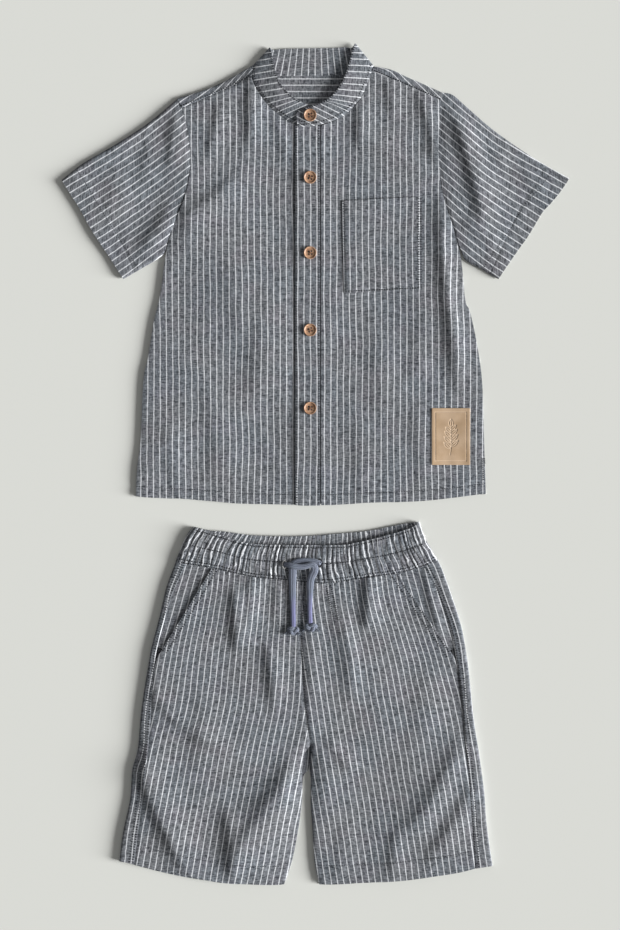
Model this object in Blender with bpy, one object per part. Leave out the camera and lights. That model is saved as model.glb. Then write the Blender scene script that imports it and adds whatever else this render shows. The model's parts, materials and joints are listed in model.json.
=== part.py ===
"""Shirt and shorts for a child of about five, laid flat and face up, the shirt above the shorts.

Metres. +X is to the right as seen from above, +Y is towards the collar, +Z is up. The set lies on Z = 0,
and the origin is at the middle of its outline. Right and left in the names are the wearer's, so a right
piece is at -X. Each panel is cut between four named edges, and its height comes from where it lies.
"""

import math

import bmesh
import bpy
from mathutils import Vector

# Cloth and layers
WALL = 0.0010            # one layer of cloth
DOUBLE = 0.0014          # a folded band
SEAM = 0.0004            # from a sewn edge to the middle of its seam
GAP = 0.00035            # between two layers
BELOW = WALL / 2         # middle of the layer that lies on the surface
LOW = 0.00190            # middle of an upper layer at the garment's edge
SHIRT_CREST = 0.0032     # middle of the shirt's upper layer away from its edges
SHORTS_CREST = 0.0034    # the same on the shorts
EDGE_ROUND = 0.022       # how far in from an edge the upper layer reaches its crest

# Shirt edges, as points in plan
ARMHOLE_RIGHT = [(-0.148, 0.393), (-0.142, 0.377), (-0.137, 0.356), (-0.134, 0.324), (-0.139, 0.292),
                 (-0.147, 0.270), (-0.154, 0.254)]
ARMHOLE_LEFT = [(0.137, 0.399), (0.135, 0.391), (0.133, 0.371), (0.132, 0.332), (0.135, 0.303),
                (0.140, 0.278), (0.147, 0.257), (0.152, 0.239)]
SIDE_RIGHT = [(-0.154, 0.254), (-0.161, 0.225), (-0.167, 0.182), (-0.174, 0.152), (-0.180, 0.115),
              (-0.185, 0.090), (-0.188, 0.025), (-0.192, -0.006), (-0.193, -0.035)]
SIDE_LEFT = [(0.152, 0.239), (0.157, 0.217), (0.161, 0.176), (0.166, 0.164), (0.173, 0.132),
             (0.179, 0.090), (0.181, 0.033), (0.183, -0.032)]
SHOULDER_RIGHT = [(-0.148, 0.393), (-0.107, 0.407), (-0.0675, 0.4285)]
SHOULDER_LEFT = [(0.0625, 0.4275), (0.081, 0.424), (0.096, 0.417), (0.110, 0.411), (0.137, 0.399)]
YOKE_SEAM_RIGHT = [(-0.1436, 0.3835), (-0.092, 0.405), (-0.0690, 0.4170)]
YOKE_SEAM_LEFT = [(0.0605, 0.4225), (0.096, 0.408), (0.1352, 0.3905)]
NECK_RIGHT = [(-0.0690, 0.4170), (-0.0650, 0.4055), (-0.0520, 0.3865), (-0.0360, 0.3730),
              (-0.0230, 0.3662), (0.0020, 0.3610)]
NECK_LEFT = [(0.0605, 0.4225), (0.0560, 0.4088), (0.0485, 0.3920), (0.0366, 0.3795), (0.0230, 0.3702),
             (0.0060, 0.3635)]
NECK_BACK = [(-0.0675, 0.4285), (-0.0560, 0.4225), (-0.0425, 0.4190), (-0.0048, 0.4190),
             (0.0339, 0.4202), (0.0500, 0.4228), (0.0625, 0.4275)]
BACK_YOKE_Y = 0.354          # where the back is sewn to the yoke
HEM_RIGHT = [(-0.193, -0.035), (-0.122, -0.039), (-0.073, -0.0425), (0.002, -0.0445)]
HEM_LEFT = [(0.006, -0.0445), (0.033, -0.043), (0.082, -0.041), (0.132, -0.038), (0.183, -0.032)]
HEM_BACK = [(-0.193, -0.035), (-0.073, -0.0415), (-0.006, -0.0435), (0.082, -0.040), (0.183, -0.032)]

SLEEVE_TOP_RIGHT = [(-0.148, 0.393), (-0.179, 0.367), (-0.214, 0.344), (-0.250, 0.323), (-0.273, 0.305)]
SLEEVE_UNDER_RIGHT = [(-0.1545, 0.254), (-0.1595, 0.2385), (-0.1645, 0.2250), (-0.183, 0.213),
                      (-0.207, 0.199)]
CUFF_RIGHT = [(-0.273, 0.305), (-0.262, 0.288), (-0.245, 0.259), (-0.226, 0.229), (-0.207, 0.199)]
SLEEVE_TOP_LEFT = [(0.137, 0.399), (0.147, 0.397), (0.161, 0.385), (0.191, 0.359), (0.228, 0.333),
                   (0.249, 0.320), (0.273, 0.307)]
SLEEVE_UNDER_LEFT = [(0.1525, 0.239), (0.1572, 0.2285), (0.1620, 0.2190), (0.178, 0.210),
                     (0.197, 0.199)]
CUFF_LEFT = [(0.273, 0.307), (0.255, 0.282), (0.243, 0.269), (0.227, 0.243), (0.218, 0.230),
             (0.197, 0.199)]

# Placket, pocket, patch and buttons
PLACKET_EDGE_X = -0.0215     # its free edge, over the right front
PLACKET_SEAM_X = 0.0050      # where it is sewn to the left front
PLACKET_TOP_Y = 0.3605
PLACKET_FOOT_Y = -0.0445
PLACKET_LEVEL = 0.0037       # middle of the placket's wall
UNDER_PLACKET_LEVEL = 0.0021
PLACKET_SLOPE = 0.020        # width over which the fronts come to its level
PLACKET_CLEAR = 0.004        # from its free edge to where the right front starts to rise
POCKET_GAP = 0.0005          # between the pocket and the front
POCKET_CORNERS = {"top_left": (0.0285, 0.283), "top_right": (0.1140, 0.287),
                  "foot_left": (0.0310, 0.184), "foot_right": (0.1140, 0.188)}
PATCH_SIZE = (0.041, 0.061)
PATCH_CENTRE = (0.1455, 0.0295)
PATCH_WALL = 0.0012
PATCH_GAP = 0.0007           # below it, where the front curves down to its side
BUTTON_RADIUS = 0.0068
BUTTON_HEIGHT = 0.0026
BUTTON_ROUND = 0.0008        # rounding of its outer edges
BUTTON_RIM = 0.0013          # width of the raised rim
BUTTON_DISH = 0.0007         # depth of the dish inside it
BUTTON_HOLE = 0.0008         # radius of each of its four holes
BUTTON_HOLE_PITCH = 0.0014   # from the middle to a hole, along X and along Y
BUTTON_STEPS = 18            # round the disc
PLACKET_BUTTONS_Y = (0.308, 0.227, 0.144, 0.060)
BUTTON_X = -0.0058
TOP_BUTTON_Y = 0.3745
TOP_BUTTON_Z = 0.0062        # its underside, on the collar band

# Collar band, from its hidden right end round the back to its left end on top.
# Each row is a point on the neckline and the point above it on the free edge.
COLLAR_ROWS = [
    # neck_x, neck_y, neck_z, edge_x, edge_y, edge_z
    (0.0070, 0.3648, 0.0021, 0.0070, 0.3838, 0.0025),
    (-0.0059, 0.3656, 0.0022, -0.0048, 0.3851, 0.0029),
    (-0.0220, 0.3682, 0.0029, -0.0129, 0.3881, 0.0042),
    (-0.0344, 0.3749, 0.0032, -0.0253, 0.3951, 0.0054),
    (-0.0502, 0.3880, 0.0033, -0.0376, 0.4085, 0.0060),
    (-0.0633, 0.4063, 0.0033, -0.0435, 0.4235, 0.0058),
    (-0.0670, 0.4182, 0.0033, -0.0459, 0.4354, 0.0052),
    (-0.0662, 0.4257, 0.0031, -0.0472, 0.4429, 0.0044),
    (-0.0652, 0.4300, 0.0020, -0.0489, 0.4476, 0.0026),
    (-0.0615, 0.4275, 0.0009, -0.0457, 0.4455, 0.0010),
    (-0.0543, 0.4232, 0.0008, -0.0339, 0.4466, 0.0008),
    (-0.0425, 0.4203, 0.0008, -0.0242, 0.4469, 0.0008),
    (-0.0048, 0.4203, 0.0008, -0.0027, 0.4472, 0.0008),
    (0.0339, 0.4216, 0.0008, 0.0188, 0.4476, 0.0008),
    (0.0489, 0.4243, 0.0008, 0.0317, 0.4483, 0.0008),
    (0.0575, 0.4268, 0.0009, 0.0388, 0.4476, 0.0010),
    (0.0610, 0.4292, 0.0020, 0.0425, 0.4520, 0.0026),
    (0.0598, 0.4246, 0.0031, 0.0399, 0.4450, 0.0044),
    (0.0583, 0.4193, 0.0033, 0.0377, 0.4365, 0.0052),
    (0.0543, 0.4096, 0.0033, 0.0339, 0.4235, 0.0058),
    (0.0470, 0.3935, 0.0034, 0.0274, 0.4085, 0.0062),
    (0.0354, 0.3812, 0.0035, 0.0188, 0.3967, 0.0059),
    (0.0220, 0.3722, 0.0038, 0.0070, 0.3888, 0.0054),
    (0.0005, 0.3654, 0.0043, -0.0048, 0.3845, 0.0052),
    (-0.0145, 0.3636, 0.0046, -0.0156, 0.3814, 0.0050),
    (-0.0197, 0.3640, 0.0047, -0.0203, 0.3769, 0.0049),
]

# Shorts edges
LEG_OUTER_RIGHT = [(-0.1505, -0.1072), (-0.160, -0.132), (-0.168, -0.166), (-0.176, -0.196),
                   (-0.180, -0.218), (-0.187, -0.264), (-0.191, -0.306), (-0.197, -0.329),
                   (-0.199, -0.359), (-0.207, -0.397), (-0.211, -0.427)]
SIDE_SEAM_RIGHT = [(-0.140, -0.1105), (-0.153, -0.138), (-0.163, -0.170), (-0.170, -0.196),
                   (-0.173, -0.218), (-0.179, -0.296), (-0.183, -0.336), (-0.189, -0.383),
                   (-0.195, -0.430)]
LEG_OUTER_LEFT = [(0.1318, -0.1052), (0.137, -0.116), (0.149, -0.150), (0.157, -0.177), (0.163, -0.211),
                  (0.167, -0.247), (0.170, -0.276), (0.176, -0.314), (0.181, -0.352), (0.184, -0.389),
                  (0.190, -0.432)]
SIDE_SEAM_LEFT = [(0.117, -0.1125), (0.131, -0.138), (0.144, -0.173), (0.149, -0.196), (0.156, -0.241),
                  (0.160, -0.286), (0.164, -0.329), (0.166, -0.359), (0.169, -0.397), (0.171, -0.435)]
MOUTH_RIGHT = [(-0.112, -0.1135), (-0.161, -0.193)]
MOUTH_LEFT = [(0.089, -0.1195), (0.144, -0.200)]
CENTRE_SEAM = [(-0.013, -0.1285), (-0.0155, -0.168), (-0.0160, -0.192), (-0.0120, -0.256),
               (-0.0080, -0.288)]
INSEAM_RIGHT = [(-0.0055, -0.3020), (-0.0115, -0.3110), (-0.0145, -0.329), (-0.0145, -0.359),
                (-0.018, -0.389), (-0.025, -0.425), (-0.034, -0.452)]
INSEAM_LEFT = [(-0.0048, -0.3020), (-0.0042, -0.314), (-0.0045, -0.344), (-0.0045, -0.367),
               (-0.003, -0.397), (-0.001, -0.427), (0.004, -0.452)]
BACK_CENTRE = [(-0.0080, -0.1195), (-0.0070, -0.200), (-0.0065, -0.290), (-0.0072, -0.326)]
BACK_INSEAM_RIGHT = [(-0.0130, -0.336), (-0.0150, -0.359), (-0.018, -0.389), (-0.025, -0.425),
                     (-0.034, -0.452)]
BACK_INSEAM_LEFT = [(-0.0052, -0.338), (-0.0050, -0.367), (-0.003, -0.397), (-0.001, -0.427),
                    (0.004, -0.452)]
LEG_HEM_RIGHT = [(-0.211, -0.427), (-0.195, -0.430), (-0.164, -0.437), (-0.126, -0.445),
                 (-0.096, -0.450), (-0.051, -0.4525), (-0.034, -0.452)]
LEG_HEM_LEFT = [(0.004, -0.452), (0.059, -0.450), (0.104, -0.446), (0.149, -0.440), (0.171, -0.435),
                (0.190, -0.432)]
WAIST_SEAM = [(-0.150, -0.1055), (-0.135, -0.109), (-0.112, -0.1125), (-0.069, -0.122),
              (-0.038, -0.125), (-0.013, -0.1275), (0.013, -0.129), (0.059, -0.1225), (0.089, -0.1185),
              (0.117, -0.1105), (0.131, -0.1035)]
BACK_WAIST_SEAM = [(-0.150, -0.1050), (-0.079, -0.1105), (-0.008, -0.1160), (0.0615, -0.1095),
                   (0.131, -0.1030)]
BAND_TOP = [(-0.131, -0.068), (-0.101, -0.077), (-0.069, -0.086), (-0.017, -0.0875), (0.028, -0.0875),
            (0.044, -0.085), (0.074, -0.078), (0.103, -0.069), (0.111, -0.0625)]
BAND_BACK_TOP = [(-0.131, -0.0665), (-0.111, -0.071), (-0.096, -0.072), (-0.066, -0.076),
                 (-0.017, -0.077), (0.028, -0.074), (0.059, -0.071), (0.089, -0.065), (0.111, -0.0615)]
BAND_SIDE_RIGHT = [(-0.131, -0.0675), (-0.140, -0.080), (-0.150, -0.105)]
BAND_SIDE_LEFT = [(0.111, -0.062), (0.119, -0.083), (0.131, -0.103)]

# Pocket facings
FACING_WALL = 0.0008
FACING_LEVEL = BELOW + WALL + GAP + 0.0001
FACING_UNDER = 0.010         # how far it reaches below the front, past the mouth
FACING_INSET = 0.003         # from the side seam to its outer edge
FACING_DROP = 0.0012         # from the waist seam to its top

# Shorts backs
BACK_ROWS = 18
BACK_COLUMNS = 5             # on the surface, from the inseam to the outer edge
HEM_SAG_RIGHT = 0.008        # how far the back hem hangs below the line between its corners
HEM_SAG_LEFT = 0.005

# Waistband
BAND_WALL = 0.0016
BAND_LEVEL = 0.0052          # middle of the front half's wall
BAND_END_LEVEL = BAND_WALL * 1.5 + GAP
BAND_ROUND = 0.014           # how far in from its ends it reaches that level
BAND_FOOT_DROP = 0.0010      # how far it goes down to the waist seam
BAND_GATHERS = 40            # across each half
GATHER_HEIGHT = 0.0009       # half of a gather's height
GATHER_START = 0.010         # how far in from the ends the gathers are at full height
FRONT_GATHERS = (0.35, 1.0, 0.8, 1.0, 0.5)   # their height from the top edge to the seam
BACK_GATHERS = (0.9, 1.0, 0.0)

# Drawcord
CORD_HEIGHT = 0.0044         # the knitted cord is flat
CORD_SIDES = 10
END_KNOT_RADIUS = 0.0050
END_KNOT_SHAPE = (1.28, 0.74, 0.70)  # the knot is wide and flat
END_KNOT_GAP = 0.0008        # between a cord's end and its knot
RIGHT_CORD = [  # x, y, z, width: from the right eyelet over the other cord and down at the middle
    (-0.0330, -0.1079, 0.0118, 0.0060), (-0.0296, -0.1081, 0.0140, 0.0066),
    (-0.0242, -0.1089, 0.0143, 0.0068), (-0.0177, -0.1097, 0.0143, 0.0066),
    (-0.0113, -0.1090, 0.0143, 0.0064), (-0.0054, -0.1079, 0.0143, 0.0064),
    (-0.0016, -0.1104, 0.0141, 0.0070), (-0.0013, -0.1148, 0.0131, 0.0078),
    (-0.0034, -0.1204, 0.0114, 0.0084), (-0.0056, -0.1279, 0.0098, 0.0082),
    (-0.0066, -0.1408, 0.0082, 0.0076), (-0.0071, -0.1548, 0.0076, 0.0068),
    (-0.0068, -0.1702, 0.0076, 0.0062),
]
LEFT_CORD = [  # from the left eyelet under the other cord and down beside it
    (0.0046, -0.1060, 0.0096, 0.0060), (-0.0005, -0.1045, 0.0096, 0.0064),
    (-0.0070, -0.1038, 0.0096, 0.0066), (-0.0145, -0.1038, 0.0096, 0.0066),
    (-0.0204, -0.1049, 0.0096, 0.0068), (-0.0240, -0.1084, 0.0096, 0.0076),
    (-0.0246, -0.1150, 0.0096, 0.0088), (-0.0245, -0.1269, 0.0094, 0.0094),
    (-0.0245, -0.1380, 0.0084, 0.0092), (-0.0246, -0.1550, 0.0076, 0.0078),
    (-0.0243, -0.1742, 0.0076, 0.0060),
]

# Main folds of the upper layers: start, end, width, and height above (or, if negative, below) the cloth
FOLD_COLUMNS = ("x1", "y1", "x2", "y2", "width", "height")
SHIRT_FOLDS = [
    (-0.150, 0.180, -0.118, 0.040, 0.013, 0.0018),
    (-0.120, 0.330, -0.085, 0.215, 0.014, 0.0014),
    (-0.060, 0.190, -0.070, 0.060, 0.016, 0.0012),
    (-0.165, 0.060, -0.150, -0.020, 0.010, 0.0014),
    (-0.105, -0.020, -0.085, 0.045, 0.012, 0.0012),
    (0.133, 0.250, 0.152, 0.120, 0.011, 0.0022),
    (0.128, 0.180, 0.110, 0.080, 0.014, 0.0014),
    (0.060, 0.150, 0.075, 0.030, 0.016, 0.0011),
    (0.110, 0.060, 0.118, -0.025, 0.009, 0.0010),
    (0.090, 0.045, 0.075, -0.030, 0.012, 0.0012),
]
SLEEVE_FOLDS = [
    (-0.160, 0.300, -0.196, 0.230, 0.012, 0.0022),
    (-0.165, 0.352, -0.235, 0.292, 0.014, 0.0014),
    (-0.176, 0.262, -0.208, 0.222, 0.009, 0.0014),
    (0.143, 0.372, 0.164, 0.285, 0.010, 0.0026),
    (0.165, 0.262, 0.205, 0.238, 0.011, 0.0018),
    (0.178, 0.345, 0.240, 0.292, 0.015, 0.0013),
]
SHORTS_FOLDS = [
    (-0.092, -0.135, -0.100, -0.225, 0.010, 0.0018),
    (-0.045, -0.140, -0.058, -0.215, 0.011, 0.0014),
    (-0.020, -0.305, -0.070, -0.420, 0.013, 0.0024),
    (-0.035, -0.290, -0.120, -0.360, 0.014, 0.0014),
    (-0.150, -0.290, -0.160, -0.420, 0.013, 0.0014),
    (-0.100, -0.380, -0.112, -0.445, 0.012, 0.0016),
    (0.045, -0.140, 0.052, -0.250, 0.011, 0.0020),
    (0.080, -0.150, 0.098, -0.235, 0.010, 0.0014),
    (0.010, -0.300, 0.050, -0.370, 0.012, 0.0018),
    (0.125, -0.200, 0.135, -0.330, 0.014, 0.0020),
    (0.060, -0.350, 0.062, -0.445, 0.014, 0.0014),
    (0.135, -0.380, 0.140, -0.440, 0.011, 0.0012),
]


def clear_scene():
    for old in list(bpy.data.objects):
        bpy.data.objects.remove(old, do_unlink=True)


def cloth_material(name, colour, roughness):
    material = bpy.data.materials.new(name)
    material.use_nodes = True
    shader = material.node_tree.nodes["Principled BSDF"]
    shader.inputs["Base Color"].default_value = (*colour, 1.0)
    shader.inputs["Roughness"].default_value = roughness
    shader.inputs["Metallic"].default_value = 0.0
    return material


# Edges and plans

def between(a, b, share):
    return tuple(p + (q - p) * share for p, q in zip(a, b))


def eased(share):
    """0 at or below 0, 1 at or above 1, and smooth between."""
    share = min(1.0, max(0.0, share))
    return share * share * (3.0 - 2.0 * share)


def rounded(share):
    """A quarter circle's rise, from 0 at 0 to 1 at 1 and above."""
    share = min(1.0, max(0.0, share))
    return math.sqrt(1.0 - (1.0 - share) ** 2)


def through(points, steps):
    """The points with steps - 1 more between each two, on a smooth curve."""
    found = []
    for i in range(len(points) - 1):
        before, a = points[max(i - 1, 0)], points[i]
        b, after = points[i + 1], points[min(i + 2, len(points) - 1)]
        for k in range(steps):
            t = k / steps
            found.append(tuple(
                0.5 * (2 * q + (r - p) * t + (2 * p - 5 * q + 4 * r - s) * t * t
                       + (3 * q - p - 3 * r + s) * t ** 3)
                for p, q, r, s in zip(before, a, b, after)))
    return found + [tuple(points[-1])]


class Edge:
    """A line through smooth stretches, each given by its points, read by its share of length from 0 to 1."""

    def __init__(self, *stretches):
        self.points = []
        for stretch in stretches:
            self.points += [p for p in through(stretch, 8) if not self.points or p != self.points[-1]]
        self.measure()

    def measure(self):
        self.along = [0.0]
        for a, b in zip(self.points, self.points[1:]):
            self.along.append(self.along[-1] + math.dist(a, b))

    def at(self, share):
        target = share * self.along[-1]
        i = next((k for k in range(1, len(self.along) - 1) if self.along[k] >= target),
                 len(self.along) - 1)
        length = self.along[i] - self.along[i - 1]
        return between(self.points[i - 1], self.points[i], (target - self.along[i - 1]) / length)

    def moved(self, aside):
        """The same line, moved to the left of its direction by that distance."""
        new = Edge()
        last = len(self.points) - 1
        for i, (x, y) in enumerate(self.points):
            a, b = self.points[max(i - 1, 0)], self.points[min(i + 1, last)]
            length = math.dist(a, b)
            new.points.append((x - (b[1] - a[1]) / length * aside, y + (b[0] - a[0]) / length * aside))
        new.measure()
        return new

    def below(self, y):
        """The stretch of a line that runs downwards from where it passes that height."""
        new = Edge()
        new.points = [(self.x_at(y), y)] + [point for point in self.points if point[1] < y - 1e-4]
        new.measure()
        return new

    def x_at(self, y):
        """Where a line that runs downwards passes that height."""
        for (ax, ay), (bx, by) in zip(self.points, self.points[1:]):
            if by <= y:
                return ax + (bx - ax) * min(1.0, max(0.0, (ay - y) / (ay - by)))
        return self.points[-1][0]

    def distance(self, x, y):
        """How far a point lies from the line."""
        best = 1.0
        for (ax, ay), (bx, by) in zip(self.points, self.points[1:]):
            dx, dy = bx - ax, by - ay
            t = ((x - ax) * dx + (y - ay) * dy) / (dx * dx + dy * dy)
            t = min(1.0, max(0.0, t))
            best = min(best, math.hypot(x - ax - t * dx, y - ay - t * dy))
        return best


def panel_plan(top, bottom, left, right, columns, rows):
    """Plan points between four edges: top and bottom run left to right, left and right run downwards."""
    plan = []
    for r in range(rows + 1):
        v = r / rows
        line = []
        for c in range(columns + 1):
            u = c / columns
            across = between(left.at(v), right.at(v), u)
            down = between(top.at(u), bottom.at(u), v)
            corners = between(between(top.at(0), top.at(1), u), between(bottom.at(0), bottom.at(1), u), v)
            line.append(tuple(a + d - k for a, d, k in zip(across, down, corners)))
        plan.append(line)
    return plan


# Heights of the upper layers

def fold_height(folds, x, y):
    """How far the folds near a point lift the cloth there."""
    lift = 0.0
    for row in folds:
        fold = dict(zip(FOLD_COLUMNS, row))
        dx, dy = fold["x2"] - fold["x1"], fold["y2"] - fold["y1"]
        length = math.hypot(dx, dy)
        along = ((x - fold["x1"]) * dx + (y - fold["y1"]) * dy) / length ** 2
        aside = abs((x - fold["x1"]) * dy - (y - fold["y1"]) * dx) / length
        taper = eased((along + 0.15) / 0.35) * eased((1.15 - along) / 0.45)
        lift += fold["height"] * taper * math.exp(-((aside / fold["width"]) ** 2))
    return lift


SHIRT_RIGHT = Edge(ARMHOLE_RIGHT, SIDE_RIGHT)
SHIRT_LEFT = Edge(ARMHOLE_LEFT, SIDE_LEFT)
SHIRT_SIDES = (Edge(SIDE_RIGHT), Edge(SIDE_LEFT))
SHORTS_INNER_EDGES = (Edge(INSEAM_RIGHT), Edge(INSEAM_LEFT))


def shirt_front_level(x, y):
    """Middle of the shirt's upper layer, away from the placket."""
    inside = min(edge.distance(x, y) for edge in SHIRT_SIDES)
    level = LOW + (SHIRT_CREST - LOW) * rounded(inside / EDGE_ROUND)
    return level + fold_height(SHIRT_FOLDS, x, y) * eased(inside / EDGE_ROUND)


def right_front_level(x, y):
    """The right front goes down to pass below the placket."""
    near = eased((PLACKET_EDGE_X - PLACKET_CLEAR - x) / PLACKET_SLOPE)
    return UNDER_PLACKET_LEVEL + (shirt_front_level(x, y) - UNDER_PLACKET_LEVEL) * near


def left_front_level(x, y):
    """The left front rises to the placket that is sewn to it."""
    near = eased((x - PLACKET_SEAM_X) / PLACKET_SLOPE)
    return PLACKET_LEVEL + (shirt_front_level(x, y) - PLACKET_LEVEL) * near


def shorts_front_level(x, y):
    inside = min(edge.distance(x, y) for edge in SHORTS_INNER_EDGES)
    level = LOW + (SHORTS_CREST - LOW) * rounded(inside / EDGE_ROUND)
    return level + fold_height(SHORTS_FOLDS, x, y) * eased(inside / EDGE_ROUND)


# Solids

def mesh_object(name, mesh, material):
    mesh.materials.append(material)
    piece = bpy.data.objects.new(name, mesh)
    bpy.context.scene.collection.objects.link(piece)
    mesh.shade_smooth()
    mesh.set_sharp_from_angle(angle=math.radians(50))
    return piece


def wall_of_rows(name, rows, wall, material, ring=False):
    """A cloth wall whose middle runs through rows of points. A shorter row leaves its far end out.

    Each row's points go from left to right and the rows go downwards, seen from the cloth's face.
    """
    mesh = bpy.data.meshes.new(name)
    shape = bmesh.new()
    net = [[shape.verts.new(point) for point in row] for row in rows]
    for upper, lower in zip(net, net[1:]):
        shared = min(len(upper), len(lower))
        for c in range(shared if ring else shared - 1):
            d = (c + 1) % shared
            shape.faces.new((upper[c], lower[c], lower[d], upper[d]))
    shape.to_mesh(mesh)
    shape.free()
    piece = mesh_object(name, mesh, material)
    solidify = piece.modifiers.new("Cloth", "SOLIDIFY")
    solidify.thickness = wall
    solidify.offset = 0.0
    return piece


def laid_wall(name, plan, level, wall, material):
    """A wall over a plan, its middle at level(x, y)."""
    return wall_of_rows(name, [[(x, y, level(x, y)) for x, y in line] for line in plan], wall, material)


def slab(name, plan, top, bottom, material):
    """A closed solid over a plan between two heights, each a function of x and y."""
    mesh = bpy.data.meshes.new(name)
    shape = bmesh.new()
    rows, columns = len(plan), len(plan[0])
    upper = [[shape.verts.new((x, y, top(x, y))) for x, y in line] for line in plan]
    lower = [[shape.verts.new((x, y, bottom(x, y))) for x, y in line] for line in plan]
    for r in range(rows - 1):
        for c in range(columns - 1):
            shape.faces.new((upper[r][c], upper[r + 1][c], upper[r + 1][c + 1], upper[r][c + 1]))
            shape.faces.new((lower[r][c], lower[r][c + 1], lower[r + 1][c + 1], lower[r + 1][c]))
    rim = ([(0, c) for c in range(columns)] + [(r, columns - 1) for r in range(1, rows)]
           + [(rows - 1, c) for c in range(columns - 2, -1, -1)] + [(r, 0) for r in range(rows - 2, 0, -1)])
    for (r1, c1), (r2, c2) in zip(rim, rim[1:] + rim[:1]):
        shape.faces.new((upper[r1][c1], upper[r2][c2], lower[r2][c2], lower[r1][c1]))
    shape.to_mesh(mesh)
    shape.free()
    return mesh_object(name, mesh, material)


# Shirt

def back_yoke_seam():
    return Edge([(SHIRT_RIGHT.x_at(BACK_YOKE_Y), BACK_YOKE_Y), (SHIRT_LEFT.x_at(BACK_YOKE_Y), BACK_YOKE_Y)])


def shirt_back(cloth):
    plan = panel_plan(
        back_yoke_seam().moved(-SEAM), Edge(HEM_BACK),
        SHIRT_RIGHT.below(BACK_YOKE_Y).moved(SEAM), SHIRT_LEFT.below(BACK_YOKE_Y).moved(-SEAM), 10, 14)
    laid_wall("shirt_back", plan, lambda x, y: BELOW, WALL, cloth)


def shirt_yoke(cloth):
    """The yoke lies below, turns over each shoulder and ends at the front yoke seam."""
    fold = (LOW + SHIRT_CREST) / 2 - BELOW
    turn = fold / 2
    shares = {"right": [i / 5 for i in range(6)], "neck": [i / 10 for i in range(1, 10)],
              "left": [i / 5 for i in range(6)]}
    stations = []
    for side, edge, seam in (("right", Edge(SHOULDER_RIGHT), Edge(YOKE_SEAM_RIGHT)),
                             ("neck", Edge(NECK_BACK), None),
                             ("left", Edge(SHOULDER_LEFT), Edge(YOKE_SEAM_LEFT))):
        for share in shares[side]:
            stations.append((edge.at(share), seam.at(share) if seam else None))
    foot = back_yoke_seam().moved(SEAM)
    first, last = stations[0][0][0], stations[-1][0][0]
    columns = []
    for (x, y), front in stations:
        foot_point = foot.at((x - first) / (last - first))
        inset = (x, y - turn, BELOW) if front else (x, y, BELOW)
        column = [(*between(foot_point, inset[:2], k / 3), BELOW) for k in range(4)]
        if front:
            top = BELOW + fold
            column.append((x, y, BELOW + turn))
            column.append((x, y - turn, top))
            column.append((*between((x, y - turn), front, 0.55), (top + SHIRT_CREST) / 2))
            column.append((front[0], front[1] + SEAM, SHIRT_CREST))
        columns.append(column)
    columns[0] = [(SHIRT_RIGHT.x_at(y) + 2 * SEAM, y, z) for x, y, z in columns[0]]
    columns[-1] = [(SHIRT_LEFT.x_at(y) - 2 * SEAM, y, z) for x, y, z in columns[-1]]
    wall_of_rows("shirt_yoke", columns, WALL, cloth)


def shirt_fronts(cloth):
    right = panel_plan(
        Edge(YOKE_SEAM_RIGHT).moved(-SEAM), Edge(HEM_RIGHT),
        SHIRT_RIGHT.below(YOKE_SEAM_RIGHT[0][1]).moved(SEAM),
        Edge(NECK_RIGHT, [NECK_RIGHT[-1], HEM_RIGHT[-1]]), 10, 20)
    laid_wall("shirt_front_right", right, right_front_level, WALL, cloth)
    left = panel_plan(
        Edge(YOKE_SEAM_LEFT).moved(-SEAM), Edge(HEM_LEFT),
        Edge(NECK_LEFT, [NECK_LEFT[-1], HEM_LEFT[0]]),
        SHIRT_LEFT.below(YOKE_SEAM_LEFT[-1][1]).moved(-SEAM), 10, 20)
    laid_wall("shirt_front_left", left, left_front_level, WALL, cloth)


def shirt_placket(cloth):
    right_x = PLACKET_SEAM_X - SEAM / 2
    plan = panel_plan(
        Edge([(PLACKET_EDGE_X, PLACKET_TOP_Y), (right_x, PLACKET_TOP_Y)]),
        Edge([(PLACKET_EDGE_X, PLACKET_FOOT_Y), (right_x, PLACKET_FOOT_Y)]),
        Edge([(PLACKET_EDGE_X, PLACKET_TOP_Y), (PLACKET_EDGE_X, PLACKET_FOOT_Y)]),
        Edge([(right_x, PLACKET_TOP_Y), (right_x, PLACKET_FOOT_Y)]), 3, 12)
    laid_wall("shirt_placket", plan, lambda x, y: PLACKET_LEVEL, DOUBLE, cloth)


def collar_band(cloth):
    rows = []
    for row in through(COLLAR_ROWS, 2):
        neck, edge = row[:3], row[3:]
        rows.append([between(neck, edge, k / 3) for k in range(4)])
    wall_of_rows("collar_band", rows, DOUBLE, cloth)


def sleeve(name, top, under, armhole, cuff, columns, rings, cloth):
    """A flattened tube: rings that go out over the upper layer and back below."""
    seam = SEAM if top[0][0] < 0 else -SEAM
    edges = Edge(armhole).moved(-seam), Edge(cuff), Edge(top), Edge(under).moved(-2 * seam)
    plan = panel_plan(*edges, columns, rings)
    turn = LOW - BELOW
    rows = []
    for line in plan:
        width = math.dist(line[0], line[-1])
        inner = Edge(line)
        near = turn / width
        shares = [near + (1 - 2 * near) * c / columns for c in range(columns + 1)]
        above, below = [], []
        for share in shares:
            x, y = inner.at(share)
            depth = min(share, 1 - share) * width
            crest = BELOW + 2 * turn + (SHIRT_CREST - BELOW - 2 * turn) * rounded(depth / EDGE_ROUND)
            above.append((x, y, crest + fold_height(SLEEVE_FOLDS, x, y) * eased(depth / EDGE_ROUND)))
            below.append((x, y, BELOW))
        ends = [(*line[0], BELOW + turn), (*line[-1], BELOW + turn)]
        rows.append([ends[0]] + above + [ends[1]] + below[::-2])
    wall_of_rows(name, rows if seam < 0 else rows[::-1], WALL, cloth, ring=True)


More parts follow.
